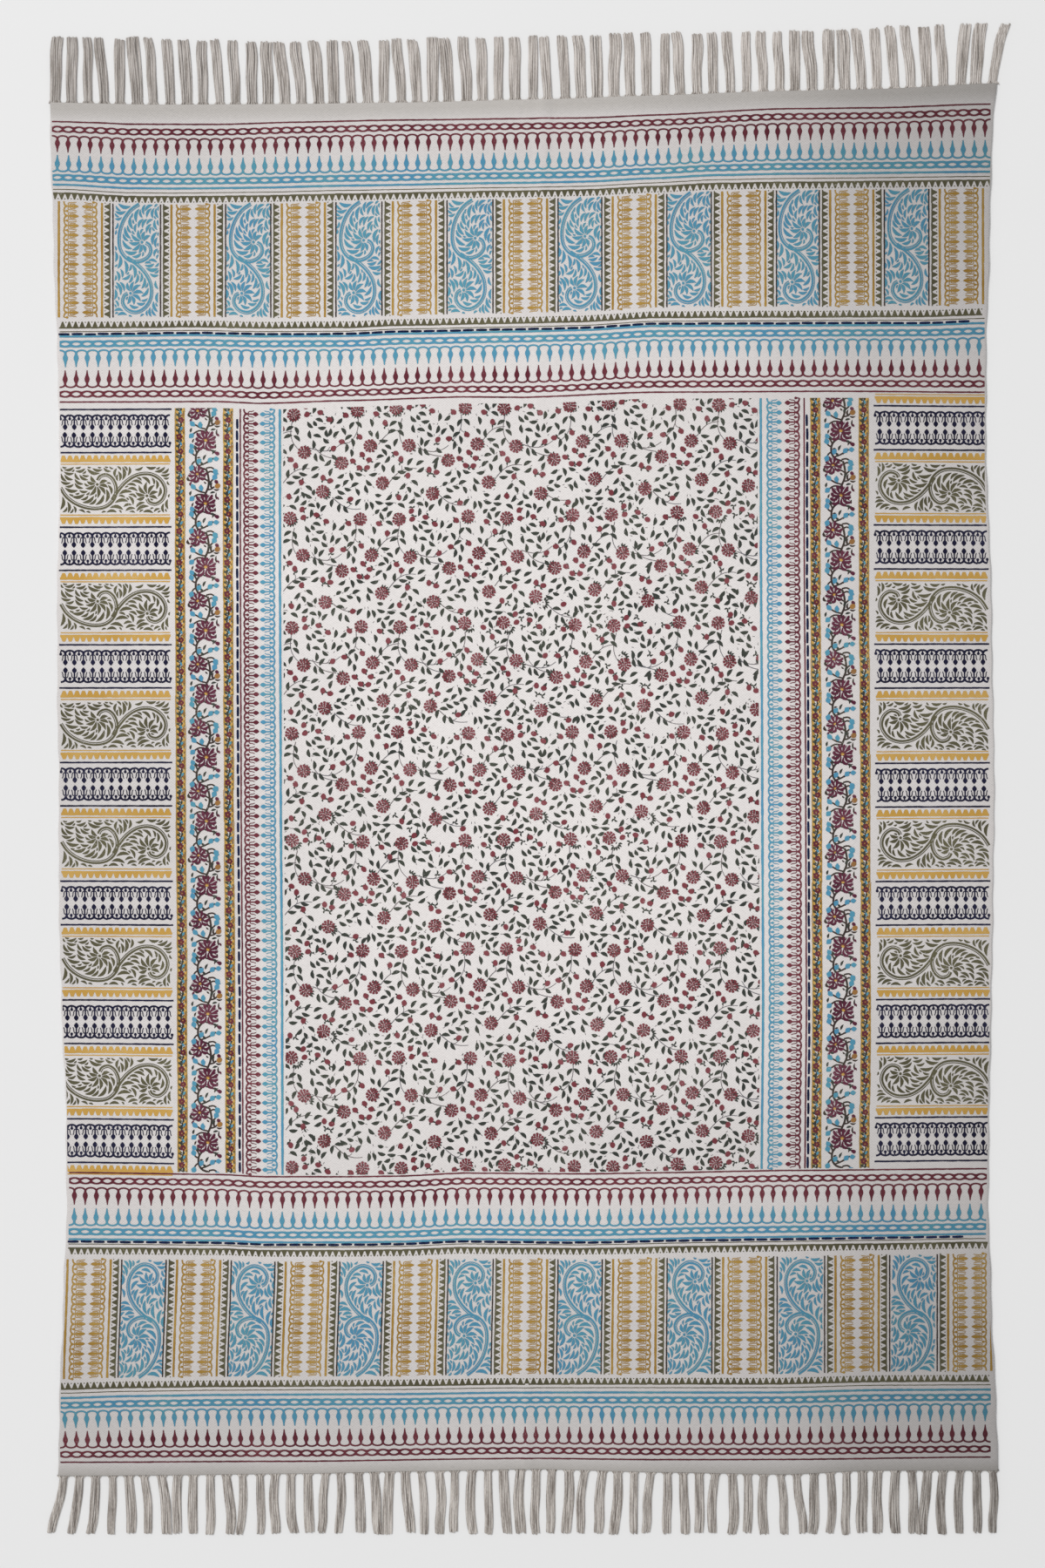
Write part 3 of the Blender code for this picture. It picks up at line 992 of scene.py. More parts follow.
def field_blocks():
    """One block of the field: round flowers on thin stems, with buds and leaves, ink by ink."""
    arts = {ink: Drawing() for ink in ("twig", "leaf", "rose", "dark")}
    taken = Taken()
    wide, high = FIELD_BLOCK
    rng = random.Random(8)

    def take(mine):
        """Takes spots in this block and in its neighbours."""
        for dx in (-wide, 0, wide):
            for dy in (-high, 0, high):
                taken.take([(x + dx, y + dy, r) for x, y, r in mine])

    def bud(at, turn):
        """A round bud held by three sepals."""
        heart = arts["rose"].shape(BUD, at, turn, *BUD_SIZE)
        for lean, length in SEPALS:
            arts["leaf"].shape(LEAF, away(at, turn, 0.6), turn + lean, length, SEPAL_WIDTH, -0.2)
        take(heart)

    for sprig in FIELD_SPRIGS:
        take([(sprig.x, sprig.y, FLOWER_RADIUS)])
        field_flower(arts, (sprig.x, sprig.y), sprig.turn)
    for sprig in FIELD_SPRIGS:
        foot = away((sprig.x, sprig.y), sprig.turn, FLOWER_RADIUS + 0.5)
        stem = []
        for step in range(STEM_STEPS + 1):
            share = step / STEM_STEPS
            bent = sprig.bend * sprig.reach * math.sin(2.6 * share)
            x, y = turned((share * sprig.reach, bent), sprig.turn)
            stem.append((foot[0] + x, foot[1] + y))
        arts["twig"].line(stem, [STEM_WIDTH - 0.3 * i / STEM_STEPS for i in range(STEM_STEPS + 1)])
        for step in range(1, STEM_STEPS + 1):
            back, here = stem[step - 1], stem[step]
            along = math.atan2(here[1] - back[1], here[0] - back[0])
            for side in (1, -1):
                turn = along + side * rng.uniform(0.55, 1.2)
                if side != (-1) ** step and rng.random() < LEAF_LEFT_OUT:
                    continue
                if STEM_BUD_STEPS.get(step) == side:
                    tip = away(here, along + side * 0.9, 7.0 if step < STEM_STEPS else 3.0)
                    if taken.free([(*away(tip, turn, 4), 3.4)], STEM_GAP):
                        arts["twig"].line([here, away(here, along + side * 0.6, 3.5), tip], 0.9)
                        bud(tip, along + side * 0.9)
                    continue
                for length in SIDE_LEAVES:
                    leaf = outline(LEAF, away(here, turn, 1.2), turn, length, FIELD_LEAF_WIDTH,
                                   0.12 * side)
                    if taken.free(spots(*leaf)[1:], STEM_GAP):
                        arts["leaf"].line(*leaf)
                        take(spots(*leaf))
                        break
        take([(x, y, STEM_WIDTH / 2) for x, y in stem])
    for length in LOOSE_LEAVES:
        for _ in range(LOOSE_TRIES):
            at = (rng.uniform(0, wide), rng.uniform(0, high))
            turn = rng.uniform(0, 2 * math.pi)
            if rng.random() < LOOSE_BUDS:
                if taken.free([(*away(at, turn, 4), 4.0)], LOOSE_GAP):
                    bud(at, turn)
                continue
            leaf = outline(LEAF, at, turn, length, FIELD_LEAF_WIDTH, 0.13)
            if taken.free(spots(*leaf), LOOSE_GAP):
                arts["leaf"].line(*leaf)
                arts["twig"].line([away(at, turn, -3.0), at], 0.8)
                take(spots(*leaf))
    return arts


# Pressing the print


def repeat_tree():
    """Geometry nodes that set down a block in rows, each copy a little astray, in one ink."""
    tree, given, result = new_group("rows of a printing block", "GeometryNodeTree", (
        ("Block", "NodeSocketObject", None), ("Count", "NodeSocketInt", 1),
        ("Step", "NodeSocketVector", None), ("Rows", "NodeSocketInt", 1),
        ("Row step", "NodeSocketVector", None), ("First", "NodeSocketVector", None),
        ("Turn", "NodeSocketFloat", 0.0), ("Size", "NodeSocketVector", None),
        ("Stray", "NodeSocketFloat", 0.0), ("Seed", "NodeSocketInt", 0),
        ("Ink", "NodeSocketMaterial", None),
    ), (("Geometry", "NodeSocketGeometry"),))
    columns = add_node(tree, "GeometryNodeMeshLine", {
        "Count": given["Count"], "Offset": given["Step"],
    })
    rows = add_node(tree, "GeometryNodeMeshLine", {
        "Count": given["Rows"], "Offset": given["Row step"], "Start Location": given["First"],
    })
    grid = add_node(tree, "GeometryNodeInstanceOnPoints", {
        "Points": rows.outputs[0], "Instance": columns.outputs[0],
    })
    points = add_node(tree, "GeometryNodeRealizeInstances", {"Geometry": grid.outputs[0]})
    chance = add_node(tree, "FunctionNodeRandomValue", {
        0: (-1, -1, -1), 1: (1, 1, 1), "Seed": given["Seed"],
    }, data_type="FLOAT_VECTOR")
    stray = vector_maths(tree, "SCALE", chance.outputs[0], scale=given["Stray"])
    flat = vector_maths(tree, "MULTIPLY", stray, second=(1, 1, 0))
    odd = maths(tree, "MODULO", tree.nodes.new("GeometryNodeInputIndex").outputs[0], 2.0)
    lift = add_node(tree, "ShaderNodeCombineXYZ", {"Z": maths(tree, "MULTIPLY", odd, COPY_LIFT)})
    moved = vector_maths(tree, "ADD", flat, second=lift.outputs[0])
    placed = add_node(tree, "GeometryNodeSetPosition", {
        "Geometry": points.outputs[0], "Offset": moved,
    })
    parts = add_node(tree, "ShaderNodeSeparateXYZ", {0: stray})
    turn = maths(tree, "MULTIPLY_ADD", parts.outputs[2], STRAY_TURN, given["Turn"])
    turning = add_node(tree, "ShaderNodeCombineXYZ", {"Z": turn})
    block = add_node(tree, "GeometryNodeObjectInfo", {"Object": given["Block"]})
    pressed = add_node(tree, "GeometryNodeInstanceOnPoints", {
        "Points": placed.outputs[0], "Instance": block.outputs["Geometry"],
        "Rotation": turning.outputs[0], "Scale": given["Size"],
    })
    real = add_node(tree, "GeometryNodeRealizeInstances", {"Geometry": pressed.outputs[0]})
    inked = add_node(tree, "GeometryNodeSetMaterial", {
        "Geometry": real.outputs[0], "Material": given["Ink"],
    })
    tree.links.new(inked.outputs[0], result[0])
    return tree


def run_tree(tree, settings, carrier=None):
    """The plain mesh that a tree makes with these inputs, from nothing or from a carrier's shape."""
    carrier = carrier or new_object("carrier", bpy.data.meshes.new("carrier"))
    modifier = carrier.modifiers.new(tree.name, "NODES")
    modifier.node_group = tree
    for item in tree.interface.items_tree:
        if item.in_out == "INPUT" and item.name in settings:
            modifier[item.identifier] = settings[item.name]
    return finished_mesh(carrier)


class BlockPrint:
    """All that is printed, ink by ink, on the flat cloth."""

    def __init__(self, tree, inks):
        self.tree = tree
        self.inks = inks
        self.beds = {ink: bmesh.new() for ink in inks}
        self.seed = 1
        self.rng = random.Random(3)

    def press(self, ink, art, first, count=1, step=(0, 0), rows=1, row_step=(0, 0), turn=0.0,
              size=(1, 1), stray=ROW_STRAY, window=None):
        """Sets a drawing down count times, in rows, and cuts off what lies outside the window."""
        self.seed += 1
        block = art.block("block")
        mesh = run_tree(self.tree, {
            "Block": block, "Count": count, "Step": (*step, 0.0), "Rows": rows,
            "Row step": (*row_step, 0.0), "First": (*first, self.seed % 2 * PRESS_LIFT),
            "Turn": turn, "Size": (*size, 1.0), "Stray": stray, "Seed": self.seed,
            "Ink": self.inks[ink],
        })
        bpy.data.objects.remove(block)
        if window:
            cut_to(mesh, window)
        self.beds[ink].from_mesh(mesh)
        bpy.data.meshes.remove(mesh)

    def rule(self, ink, start, end, width):
        """A straight printed line, a little uneven, in short steps so that it can lie on the cloth."""
        length = math.dist(start, end)
        steps = round(length / RULE_STEP)
        route = []
        widths = []
        for i in range(steps + 1):
            share = i / steps
            sway = self.rng.uniform(-RULE_SWAY, RULE_SWAY)
            route.append(tuple(
                a + (b - a) * share + sway * (a == b) for a, b in zip(start, end)
            ))
            widths.append(width * self.rng.uniform(*RULE_SHARES))
        art = Drawing()
        art.line(route, widths)
        obj = art.block("rule")
        self.beds[ink].from_mesh(obj.data)
        bpy.data.objects.remove(obj)


def cut_to(mesh, window):
    """Cuts a flat mesh off at a window's four sides."""
    left, bottom, right, top = window
    bm = bmesh.new()
    bm.from_mesh(mesh)
    for at, outward in (((left, 0, 0), (-1, 0, 0)), ((right, 0, 0), (1, 0, 0)),
                        ((0, bottom, 0), (0, -1, 0)), ((0, top, 0), (0, 1, 0))):
        geometry = [*bm.verts, *bm.edges, *bm.faces]
        bmesh.ops.bisect_plane(bm, geom=geometry, plane_co=at, plane_no=outward, clear_outer=True)
    bm.to_mesh(mesh)
    bm.free()


def print_band(work, band, blocks):
    """One band of drops across the rug, from its red line to its sawtooth."""
    way = band.way
    wide = band.right - band.left
    count = int(wide / DROP_PITCH)
    pitch = wide / count
    window = (band.left, -BEYOND, band.right, BEYOND)

    def at(offset):
        """How far up a place in the band is."""
        return band.red_line + way * offset * band.stretch

    def line(ink, offset, width):
        """A line from one side to the other."""
        work.rule(ink, (band.left, at(offset)), (band.right, at(offset)), width)

    def row(ink, art, offset, face=1, between=False, stray=0.0):
        """A row of one block at the band's pitch, or between its places."""
        start = band.left + (0 if between else pitch / 2)
        work.press(ink, art, (start, at(offset)), count + between, (pitch, 0), stray=stray,
                   size=(pitch / DROP_PITCH, way * face), window=window if between else None)

    line("maroon", 0, RED_LINE)
    row("maroon", blocks["red_chain"], CHAIN_AT)
    row("maroon", blocks["arch"], ARCH_CUSP, between=True)
    row("maroon", blocks["drop"], DROP_FROM, stray=ROW_STRAY)
    row("blue", blocks["drop"], FACING_BASE, -1, stray=ROW_STRAY)
    row("blue", blocks["arch"], FACING_CUSP, -1, between=True)
    row("blue", blocks["blue_chain"], FACING_CHAIN_AT)
    line("blue", BLUE_LINE_AT, BLUE_LINE)
    line("olive", THIN_LINE_AT, THIN_LINE)
    saws = round(wide / SAW_PITCH)
    work.press("olive", blocks["saw"], (band.left + SAW_PITCH / 2, at(SAWTOOTH_AT)), saws,
               (SAW_PITCH, 0), size=(1, way))


def print_panels(work, band, blocks):
    """One band of upright panels: crests in brass, and scrolls in blue between olive edges."""
    high = band.top - band.bottom
    middle = (band.top + band.bottom) / 2
    crest_pitch = high / CREST_ROWS
    saws = int(high / SAW_PITCH)
    saw_pitch = high / saws

    def column(ink, art, x, count, pitch, turn, size):
        """A column of one block, from the band's bottom to its top."""
        work.press(ink, art, (x, band.bottom + pitch / 2), count, (0, pitch), turn=turn, size=size)

    for index, x in enumerate(band.middles):
        for side in (1, -1):
            column("brass", blocks["rich_crest"], x + side * PANEL_CREST_FROM, CREST_ROWS, crest_pitch,
                   side * QUARTER, (crest_pitch / CREST_PITCH, PANEL_CREST_DEPTH / CREST_DEPTH))
            line_at = x + side * PANEL_LINE_AT
            work.rule("brass", (line_at, band.bottom), (line_at, band.top), PANEL_LINE)
            if (index, side) in ((0, -1), (len(band.middles) - 1, 1)):
                continue
            column("olive", blocks["saw"], x + side * PANEL_SAW_AT, saws, saw_pitch,
                   side * QUARTER, (saw_pitch / SAW_PITCH, PANEL_SAW_HIGH))
            dark_at = x + side * PANEL_DARK_AT
            work.rule("dark", (dark_at, band.bottom), (dark_at, band.top), PANEL_DARK_LINE)
    for left, right in zip(band.middles, band.middles[1:]):
        work.press("blue", blocks["scroll"], ((left + right) / 2, middle), turn=band.scroll_turn,
                   size=(high / SCROLL_SIZE[0], PANEL_SCROLL / SCROLL_SIZE[1]),
                   stray=PANEL_SCROLL_STRAY)


def print_side(work, column, blocks):
    """One column of lying panels: crest stripes in navy, olive scrolls between mustard teeth."""
    left, right = column.left, column.right
    wide = right - left
    middle = (left + right) / 2
    pitch = wide / CREST_ROWS
    saws = round(wide / SAW_PITCH)
    saw_pitch = wide / saws

    def teeth(y, solid_at, thin_at, turn):
        """A row of teeth and the thin line beside it."""
        work.press("mustard", blocks["full_saw"], (left + saw_pitch / 2, y - solid_at), saws,
                   (saw_pitch, 0), turn=turn, size=(saw_pitch / SAW_PITCH, 1))
        work.rule("mustard", (left, y - thin_at), (right, y - thin_at), STRIPE_THIN_WIDTH)

    for index in range(SIDE_STRIPES):
        y = column.top - column.pitch * index
        for offset in (0, STRIPE_DEPTH):
            work.rule("navy", (left - STRIPE_LINE_OVER, y - offset),
                      (right + STRIPE_LINE_OVER, y - offset), STRIPE_LINE)
        for offset, turn in ((STRIPE_ARCH, math.pi), (STRIPE_FACING_ARCH, 0.0)):
            work.press("navy", blocks["bold_crest"], (left + pitch / 2, y - offset), CREST_ROWS,
                       (pitch, 0), turn=turn, size=(pitch / CREST_PITCH, STRIPE_CREST_HIGH))
        last = index == SIDE_STRIPES - 1
        if not last or column.half_below:
            teeth(y, STRIPE_SAW, STRIPE_THIN_LINE, 0.0)
        if last:
            continue
        teeth(y, STRIPE_LOWER_SAW, STRIPE_LOWER_THIN_LINE, math.pi)
        scroll_high = STRIPE_SCROLL_BOTTOM - STRIPE_SCROLL_TOP
        work.press("olive", blocks["scroll"],
                   (middle, y - (STRIPE_SCROLL_TOP + STRIPE_SCROLL_BOTTOM) / 2), turn=column.turn,
                   size=(wide / SCROLL_SIZE[0], scroll_high / SCROLL_SIZE[1]), stray=SIDE_SCROLL_STRAY)
    if column.half_above:
        teeth(column.top + column.pitch, STRIPE_LOWER_SAW, STRIPE_LOWER_THIN_LINE, math.pi)


def print_long(work, long, blocks):
    """The long columns on one side of the field."""
    high = COLUMN_TOP - COLUMN_BOTTOM
    side = 1 if long.vine > 0 else -1
    window = (-BEYOND, COLUMN_BOTTOM, BEYOND, COLUMN_TOP)
    for x, block, period in ((long.mixed_outer, "mixed", MIXED_PERIOD),
                             (long.mixed_inner, "mixed", MIXED_PERIOD),
                             (long.vine, "vine", VINE_PERIOD)):
        count = math.ceil(high / period)
        for ink, art in blocks[block].items():
            work.press(ink, art, (x, COLUMN_BOTTOM), count, (0, period), window=window)
    for ink, x, width in (("maroon", long.red_line, COLUMN_RED_LINE),
                          ("blue", long.blue_line, COLUMN_BLUE_LINE)):
        work.rule(ink, (x, COLUMN_BOTTOM), (x, COLUMN_TOP), width)
    count = int(high / COLUMN_CREST_PITCH)
    pitch = high / count
    for ink, block, x, turn in (("maroon", "red_crest", long.red_crest, side * QUARTER),
                                ("blue", "blue_crest", long.blue_crest, -side * QUARTER)):
        work.press(ink, blocks[block], (x, COLUMN_BOTTOM + pitch / 2), count, (0, pitch),
                   turn=turn, size=(pitch / CREST_PITCH, COLUMN_CREST_HIGH))


def print_field(work):
    """The field of flowers, cut off at its edges."""
    window = (FIELD_LEFT, COLUMN_BOTTOM, FIELD_RIGHT, COLUMN_TOP)
    columns = math.ceil((FIELD_RIGHT - FIELD_FIRST[0]) / FIELD_BLOCK[0]) + 1
    rows = math.ceil((COLUMN_TOP - FIELD_FIRST[1]) / FIELD_BLOCK[1]) + 1
    for ink, art in field_blocks().items():
        work.press(ink, art, FIELD_FIRST, columns, (FIELD_BLOCK[0], 0), rows, (0, FIELD_BLOCK[1]),
                   stray=FIELD_STRAY, window=window)


def print_all(inks):
    """The whole print on the flat cloth."""
    work = BlockPrint(repeat_tree(), inks)
    blocks = {
        "red_chain": chain_link(2.5, 1.2), "blue_chain": chain_link(2.1, 0.6),
        "arch": arch(4.0, 2.0), "drop": drop(18.2, 6.6),
        "saw": sawtooth(1.9, 8.8, 0.8, 0.9), "full_saw": sawtooth(3.0, 8.8, 1.8, 0, 1.0),
        "red_crest": crest(1.05), "blue_crest": crest(0.98), "bold_crest": crest(1.2),
        "rich_crest": crest(rich=True),
        "scroll": scroll_block(), "mixed": mixed_blocks(), "vine": vine_blocks(),
    }
    for band in BANDS:
        print_band(work, band, blocks)
    for band in PANEL_BANDS:
        print_panels(work, band, blocks)
    for column in SIDE_COLUMNS:
        print_side(work, column, blocks)
    for long in (LEFT_LONG, RIGHT_LONG):
        print_long(work, long, blocks)
    print_field(work)
    return work.beds


def planar_map(mesh):
    """A map that looks straight down on the piece, filled from edge to edge."""
    layer = mesh.uv_layers.new(name="OFBake")
    places = places_of(mesh)[:, :2]
    corners = np.empty(len(mesh.loops), dtype=np.int32)
    mesh.loops.foreach_get("vertex_index", corners)
    low, high = places.min(0), places.max(0)
    shares = (places[corners] - low) / (high - low)
    layer.uv.foreach_set("vector", shares.astype(np.float32).ravel())


def drop_empty_faces(mesh):
    """Takes away the faces that were pushed flat at the cloth's edge."""
    bm = bmesh.new()
    bm.from_mesh(mesh)
    flat = [face for face in bm.faces if face.calc_area() < EMPTY_AREA]
    bmesh.ops.delete(bm, geom=flat, context="FACES")
    bm.to_mesh(mesh)
    bm.free()


def ink_piece(name, bed, material, lift):
    """One ink, turned face up and laid on the cloth."""
    bmesh.ops.remove_doubles(bed, verts=bed.verts[:], dist=WELD)
    for face in bed.faces:
        face.normal_update()
        if face.normal.z < 0:
            face.normal_flip()
    mesh = new_mesh(name, bed)
    lay_on_cloth(mesh, lift, EDGE_BARE)
    drop_empty_faces(mesh)
    put_material(mesh, material)
    planar_map(mesh)
    mesh.update()
    return new_object(name, mesh)


# Materials


# Here widths and heights are in metres, and how fine a thing is says how often it comes in a metre

# Weave: pitch of its yarns, how far they wander, their slubs each way, and their grain
WEAVE_ACROSS, WEAVE_ALONG = 0.0019, 0.0016
WANDER_FINENESS = 55.0
WANDER = 0.0035
SLUB_FINENESS = (170.0, 640.0, 1.0)
GRAIN_FINENESS = 900.0
WEAVE_HEIGHT = 0.0006

# Ink: its broad changes of tone, and the fine ones over single threads
BROAD_FINENESS = 16.0
FINE_FINENESS = 480.0

# Painted shade over the cotton, where the light falls off and in a shadow at its left: along what, from
# where, to where, the share of light left, and how
PAINTED_SHADE_RAMPS = (
    ("y", 0.22, 1.0, 0.78, "SMOOTHSTEP"), ("y", -0.18, -1.0, 0.67, "SMOOTHSTEP"),
    ("x", 0.10, 0.40, 0.93, "LINEAR"), ("x", 0.27, 0.49, 0.84, "SMOOTHSTEP"),
    ("x", 0.50, 0.62, 0.93, "LINEAR"), ("x", -0.25, -0.62, 0.92, "LINEAR"),
    ("corner", 0.05, 0.55, 0.84, "LINEAR"), ("spot", 0.50, 0.10, 0.85, "SMOOTHSTEP"),
)
# Middle of the painted shadow at the cotton's left
PAINTED_SHADOW_AT = (-0.62, -0.08, 0.0)

# Yarn: how fine its fibres and its longer streaks are each way, and how much the streaks count; the
# streaks are partly uneven yarn tone and partly painted shade where its threads part
FIBRE_FINENESS = (1500.0, 260.0, 1500.0)
STREAK_FINENESS = (420.0, 22.0, 420.0)
STREAK_SHARE = 0.65
FIBRE_HEIGHT = 0.0004


def weave_group():
    """Plain weave of uneven hand-spun yarn: its height, and how much light its grooves lose."""
    tree, given, result = new_group("cotton weave", "ShaderNodeTree", (
        ("Place", "NodeSocketVector", None), ("Across", "NodeSocketFloat", WEAVE_ACROSS),
        ("Along", "NodeSocketFloat", WEAVE_ALONG), ("Groove", "NodeSocketFloat", 0.2),
    ), (("Height", "NodeSocketFloat"), ("Shade", "NodeSocketFloat")))
    wander = noise(tree, given["Place"], WANDER_FINENESS, 2.0, "Color")
    astray = vector_maths(tree, "SCALE", wander, scale=WANDER)
    place = vector_maths(tree, "ADD", given["Place"], second=astray)
    parts = add_node(tree, "ShaderNodeSeparateXYZ", {0: place})
    across = maths(tree, "DIVIDE", maths(tree, "MULTIPLY", parts.outputs[0], math.pi), given["Across"])
    along = maths(tree, "DIVIDE", maths(tree, "MULTIPLY", parts.outputs[1], math.pi), given["Along"])
    checks = maths(tree, "MULTIPLY", maths(tree, "SINE", across), maths(tree, "SINE", along))
    slub = noise(tree, vector_maths(tree, "MULTIPLY", given["Place"], second=SLUB_FINENESS), 1.0, 2.0)
    grain = noise(tree, given["Place"], GRAIN_FINENESS, 1.0)
    both = maths(tree, "ADD", slub, grain)
    height = maths(tree, "MULTIPLY_ADD", checks, 0.25, maths(tree, "MULTIPLY", both, 0.5))
    tree.links.new(height, result["Height"])
    low = maths(tree, "SUBTRACT", 1.0, given["Groove"])
    tree.links.new(ramp(tree, height, 0.2, 0.62, low, 1.03), result["Shade"])
    return tree


def ink_group():
    """Printing ink: even at its heart, and thinner where the threads dip or the block was dry."""
    tree, given, result = new_group("block ink", "ShaderNodeTree", (
        ("Place", "NodeSocketVector", None), ("Ink", "NodeSocketColor", None),
        ("Thin ink", "NodeSocketColor", None), ("Cloth", "NodeSocketColor", None),
        ("Wear", "NodeSocketFloat", 0.36),
    ), (("Colour", "NodeSocketColor"),))
    broad = noise(tree, given["Place"], BROAD_FINENESS, 3.0)
    fine = noise(tree, given["Place"], FINE_FINENESS, 2.0)
    inked = mixed_colour(tree, ramp(tree, broad, 0.36, 0.64), given["Ink"], given["Thin ink"])
    dry = maths(tree, "MULTIPLY_ADD", broad, 0.3, given["Wear"])
    cover = maths(tree, "SUBTRACT", fine, maths(tree, "SUBTRACT", dry, 0.15))
    seen = mixed_colour(tree, ramp(tree, cover, -0.30, 0.06), given["Cloth"], inked)
    tree.links.new(seen, result["Colour"])
    return tree


def painted_shade_group():
    """Painted shade on the cotton, darker towards its ends and sides where the light falls off, and a
    painted shadow round one place at its left.
    """
    tree, given, result = new_group("painted cotton shade", "ShaderNodeTree", (
        ("Place", "NodeSocketVector", None),
    ), (("Shade", "NodeSocketFloat"),))
    parts = add_node(tree, "ShaderNodeSeparateXYZ", {0: given["Place"]})
    right = maths(tree, "MAXIMUM", maths(tree, "ADD", parts.outputs[0], 0.1), 0.0)
    corner = maths(tree, "MULTIPLY", maths(tree, "ABSOLUTE", parts.outputs[1]), right)
    spot = vector_maths(tree, "DISTANCE", given["Place"], second=PAINTED_SHADOW_AT)
    measures = {"x": parts.outputs[0], "y": parts.outputs[1], "corner": corner, "spot": spot}
    shade = None
    for measure, start, stop, least, kind in PAINTED_SHADE_RAMPS:
        part = ramp(tree, measures[measure], start, stop, 1.0, least, kind)
        shade = part if shade is None else maths(tree, "MULTIPLY", shade, part)
    tree.links.new(shade, result["Shade"])
    return tree


def new_material(name, roughness):
    """A material, its tree, its shader, and the output that gives places on the object."""
    material = bpy.data.materials.new(name)
    material.use_nodes = True
    tree = material.node_tree
    shader = tree.nodes["Principled BSDF"]
    shader.inputs["Roughness"].default_value = roughness
    shader.inputs["Specular IOR Level"].default_value = 0.2
    place = tree.nodes.new("ShaderNodeTexCoord").outputs["Object"]
    return material, tree, shader, place


def add_weave(tree, shader, place, groups, strength, groove):
    """The weave's relief on a shader. Gives back the painted shade there: the weave's grooves, and the
    light's fall-off over the cotton.
    """
    group = add_node(tree, "ShaderNodeGroup", node_tree=groups["weave"])
    set_inputs(tree, group, {"Place": place, "Groove": groove})
    bump = add_node(tree, "ShaderNodeBump", {
        "Height": group.outputs["Height"], "Strength": strength, "Distance": WEAVE_HEIGHT,
    })
    tree.links.new(bump.outputs[0], shader.inputs["Normal"])
    # Painted shade of the light's fall-off towards the cotton's ends and sides, and a painted shadow at
    # its left
    falloff_shade = add_node(tree, "ShaderNodeGroup", node_tree=groups["painted_falloff"])
    tree.links.new(place, falloff_shade.inputs["Place"])
    return maths(tree, "MULTIPLY", group.outputs["Shade"], falloff_shade.outputs["Shade"])


def cloth_material(groups):
    """Undyed cotton, greyer and closer woven at its two end hems."""
    material, tree, shader, place = new_material("woven cotton", 0.95)
    shade = add_weave(tree, shader, place, groups, 0.55, 0.20)
    hem = add_node(tree, "ShaderNodeAttribute", attribute_name="hem").outputs["Fac"]
    tone = ramp(tree, noise(tree, place, 7.0, 3.0), 0.3, 0.7, 0.97, 1.03)
    ground = mixed_colour(tree, hem, GROUND, HEM)
    # The ground colour, darkened by painted shade and a little random tone
    toned = vector_maths(tree, "SCALE", ground, scale=maths(tree, "MULTIPLY", shade, tone))
    tree.links.new(toned, shader.inputs["Base Color"])
    return material


def ink_material(name, groups, full, thin, wear):
    """One ink of the print."""
    material, tree, shader, place = new_material(name + " ink", 0.9)
    shade = add_weave(tree, shader, place, groups, 0.5, 0.16)
    group = add_node(tree, "ShaderNodeGroup", node_tree=groups["ink"])
    values = {"Place": place, "Ink": full, "Thin ink": thin, "Cloth": GROUND, "Wear": wear}
    set_inputs(tree, group, values)
    # The ink's colour, darkened by painted shade from the weave's grooves and the light's fall-off
    toned = vector_maths(tree, "SCALE", group.outputs["Colour"], scale=shade)
    tree.links.new(toned, shader.inputs["Base Color"])
    return material


def yarn_material(name, dark, light, painted_light_fades=()):
    """Soft yarn: long streaks, partly uneven tone and partly painted shade where its threads part, fine
    fibres, and painted light and shade from left to right.
    """
    material, tree, shader, place = new_material(name, 0.95)
    fibres = noise(tree, vector_maths(tree, "MULTIPLY", place, second=FIBRE_FINENESS), 1.0, 2.0)
    # Long streaks: uneven yarn tone, and painted shade where the threads part
    parting_shade = noise(tree, vector_maths(tree, "MULTIPLY", place, second=STREAK_FINENESS), 1.0, 1.0)
    streaks = maths(tree, "MULTIPLY", parting_shade, STREAK_SHARE)
    streaks = maths(tree, "MULTIPLY_ADD", fibres, 1 - STREAK_SHARE, streaks)
    toned = mixed_colour(tree, ramp(tree, streaks, 0.34, 0.60), dark, light)
    across = add_node(tree, "ShaderNodeSeparateXYZ", {0: place}).outputs[0]
    for start, stop, share in painted_light_fades:
        toned = vector_maths(tree, "SCALE", toned, scale=ramp(tree, across, start, stop, 1.0, share))
    tree.links.new(toned, shader.inputs["Base Color"])
    bump = {"Height": fibres, "Strength": 0.5, "Distance": FIBRE_HEIGHT}
    tree.links.new(add_node(tree, "ShaderNodeBump", bump).outputs[0], shader.inputs["Normal"])
    return material


# In the order in which they lie on the cloth, lowest first: full ink, thin ink, wear
INKS = {
    "twig": (colour(112, 112, 118), colour(124, 114, 112), 0.34),
    "stem": (colour(66, 54, 52), colour(80, 72, 62), 0.30),
    "olive": (colour(94, 90, 68), colour(110, 106, 80), 0.30),
    "leaf": (colour(58, 62, 58), colour(76, 80, 70), 0.30),
    "mustard": (colour(212, 166, 80), colour(222, 180, 102), 0.28),
    "brass": (colour(174, 134, 58), colour(196, 158, 80), 0.30),
    "navy": (colour(24, 24, 52), colour(40, 40, 70), 0.26),
    "maroon": (colour(102, 42, 54), colour(124, 60, 70), 0.28),
    "plum": (colour(90, 36, 58), colour(116, 58, 78), 0.30),
    "rose": (colour(122, 56, 64), colour(142, 80, 86), 0.30),
    "blue": (colour(88, 155, 190), colour(96, 165, 186), 0.28),
    "ochre": (colour(176, 128, 70), colour(154, 112, 70), 0.30),
    "dark": (colour(58, 52, 50), colour(72, 60, 56), 0.28),
}


# The cloth, the stitches and the fringes


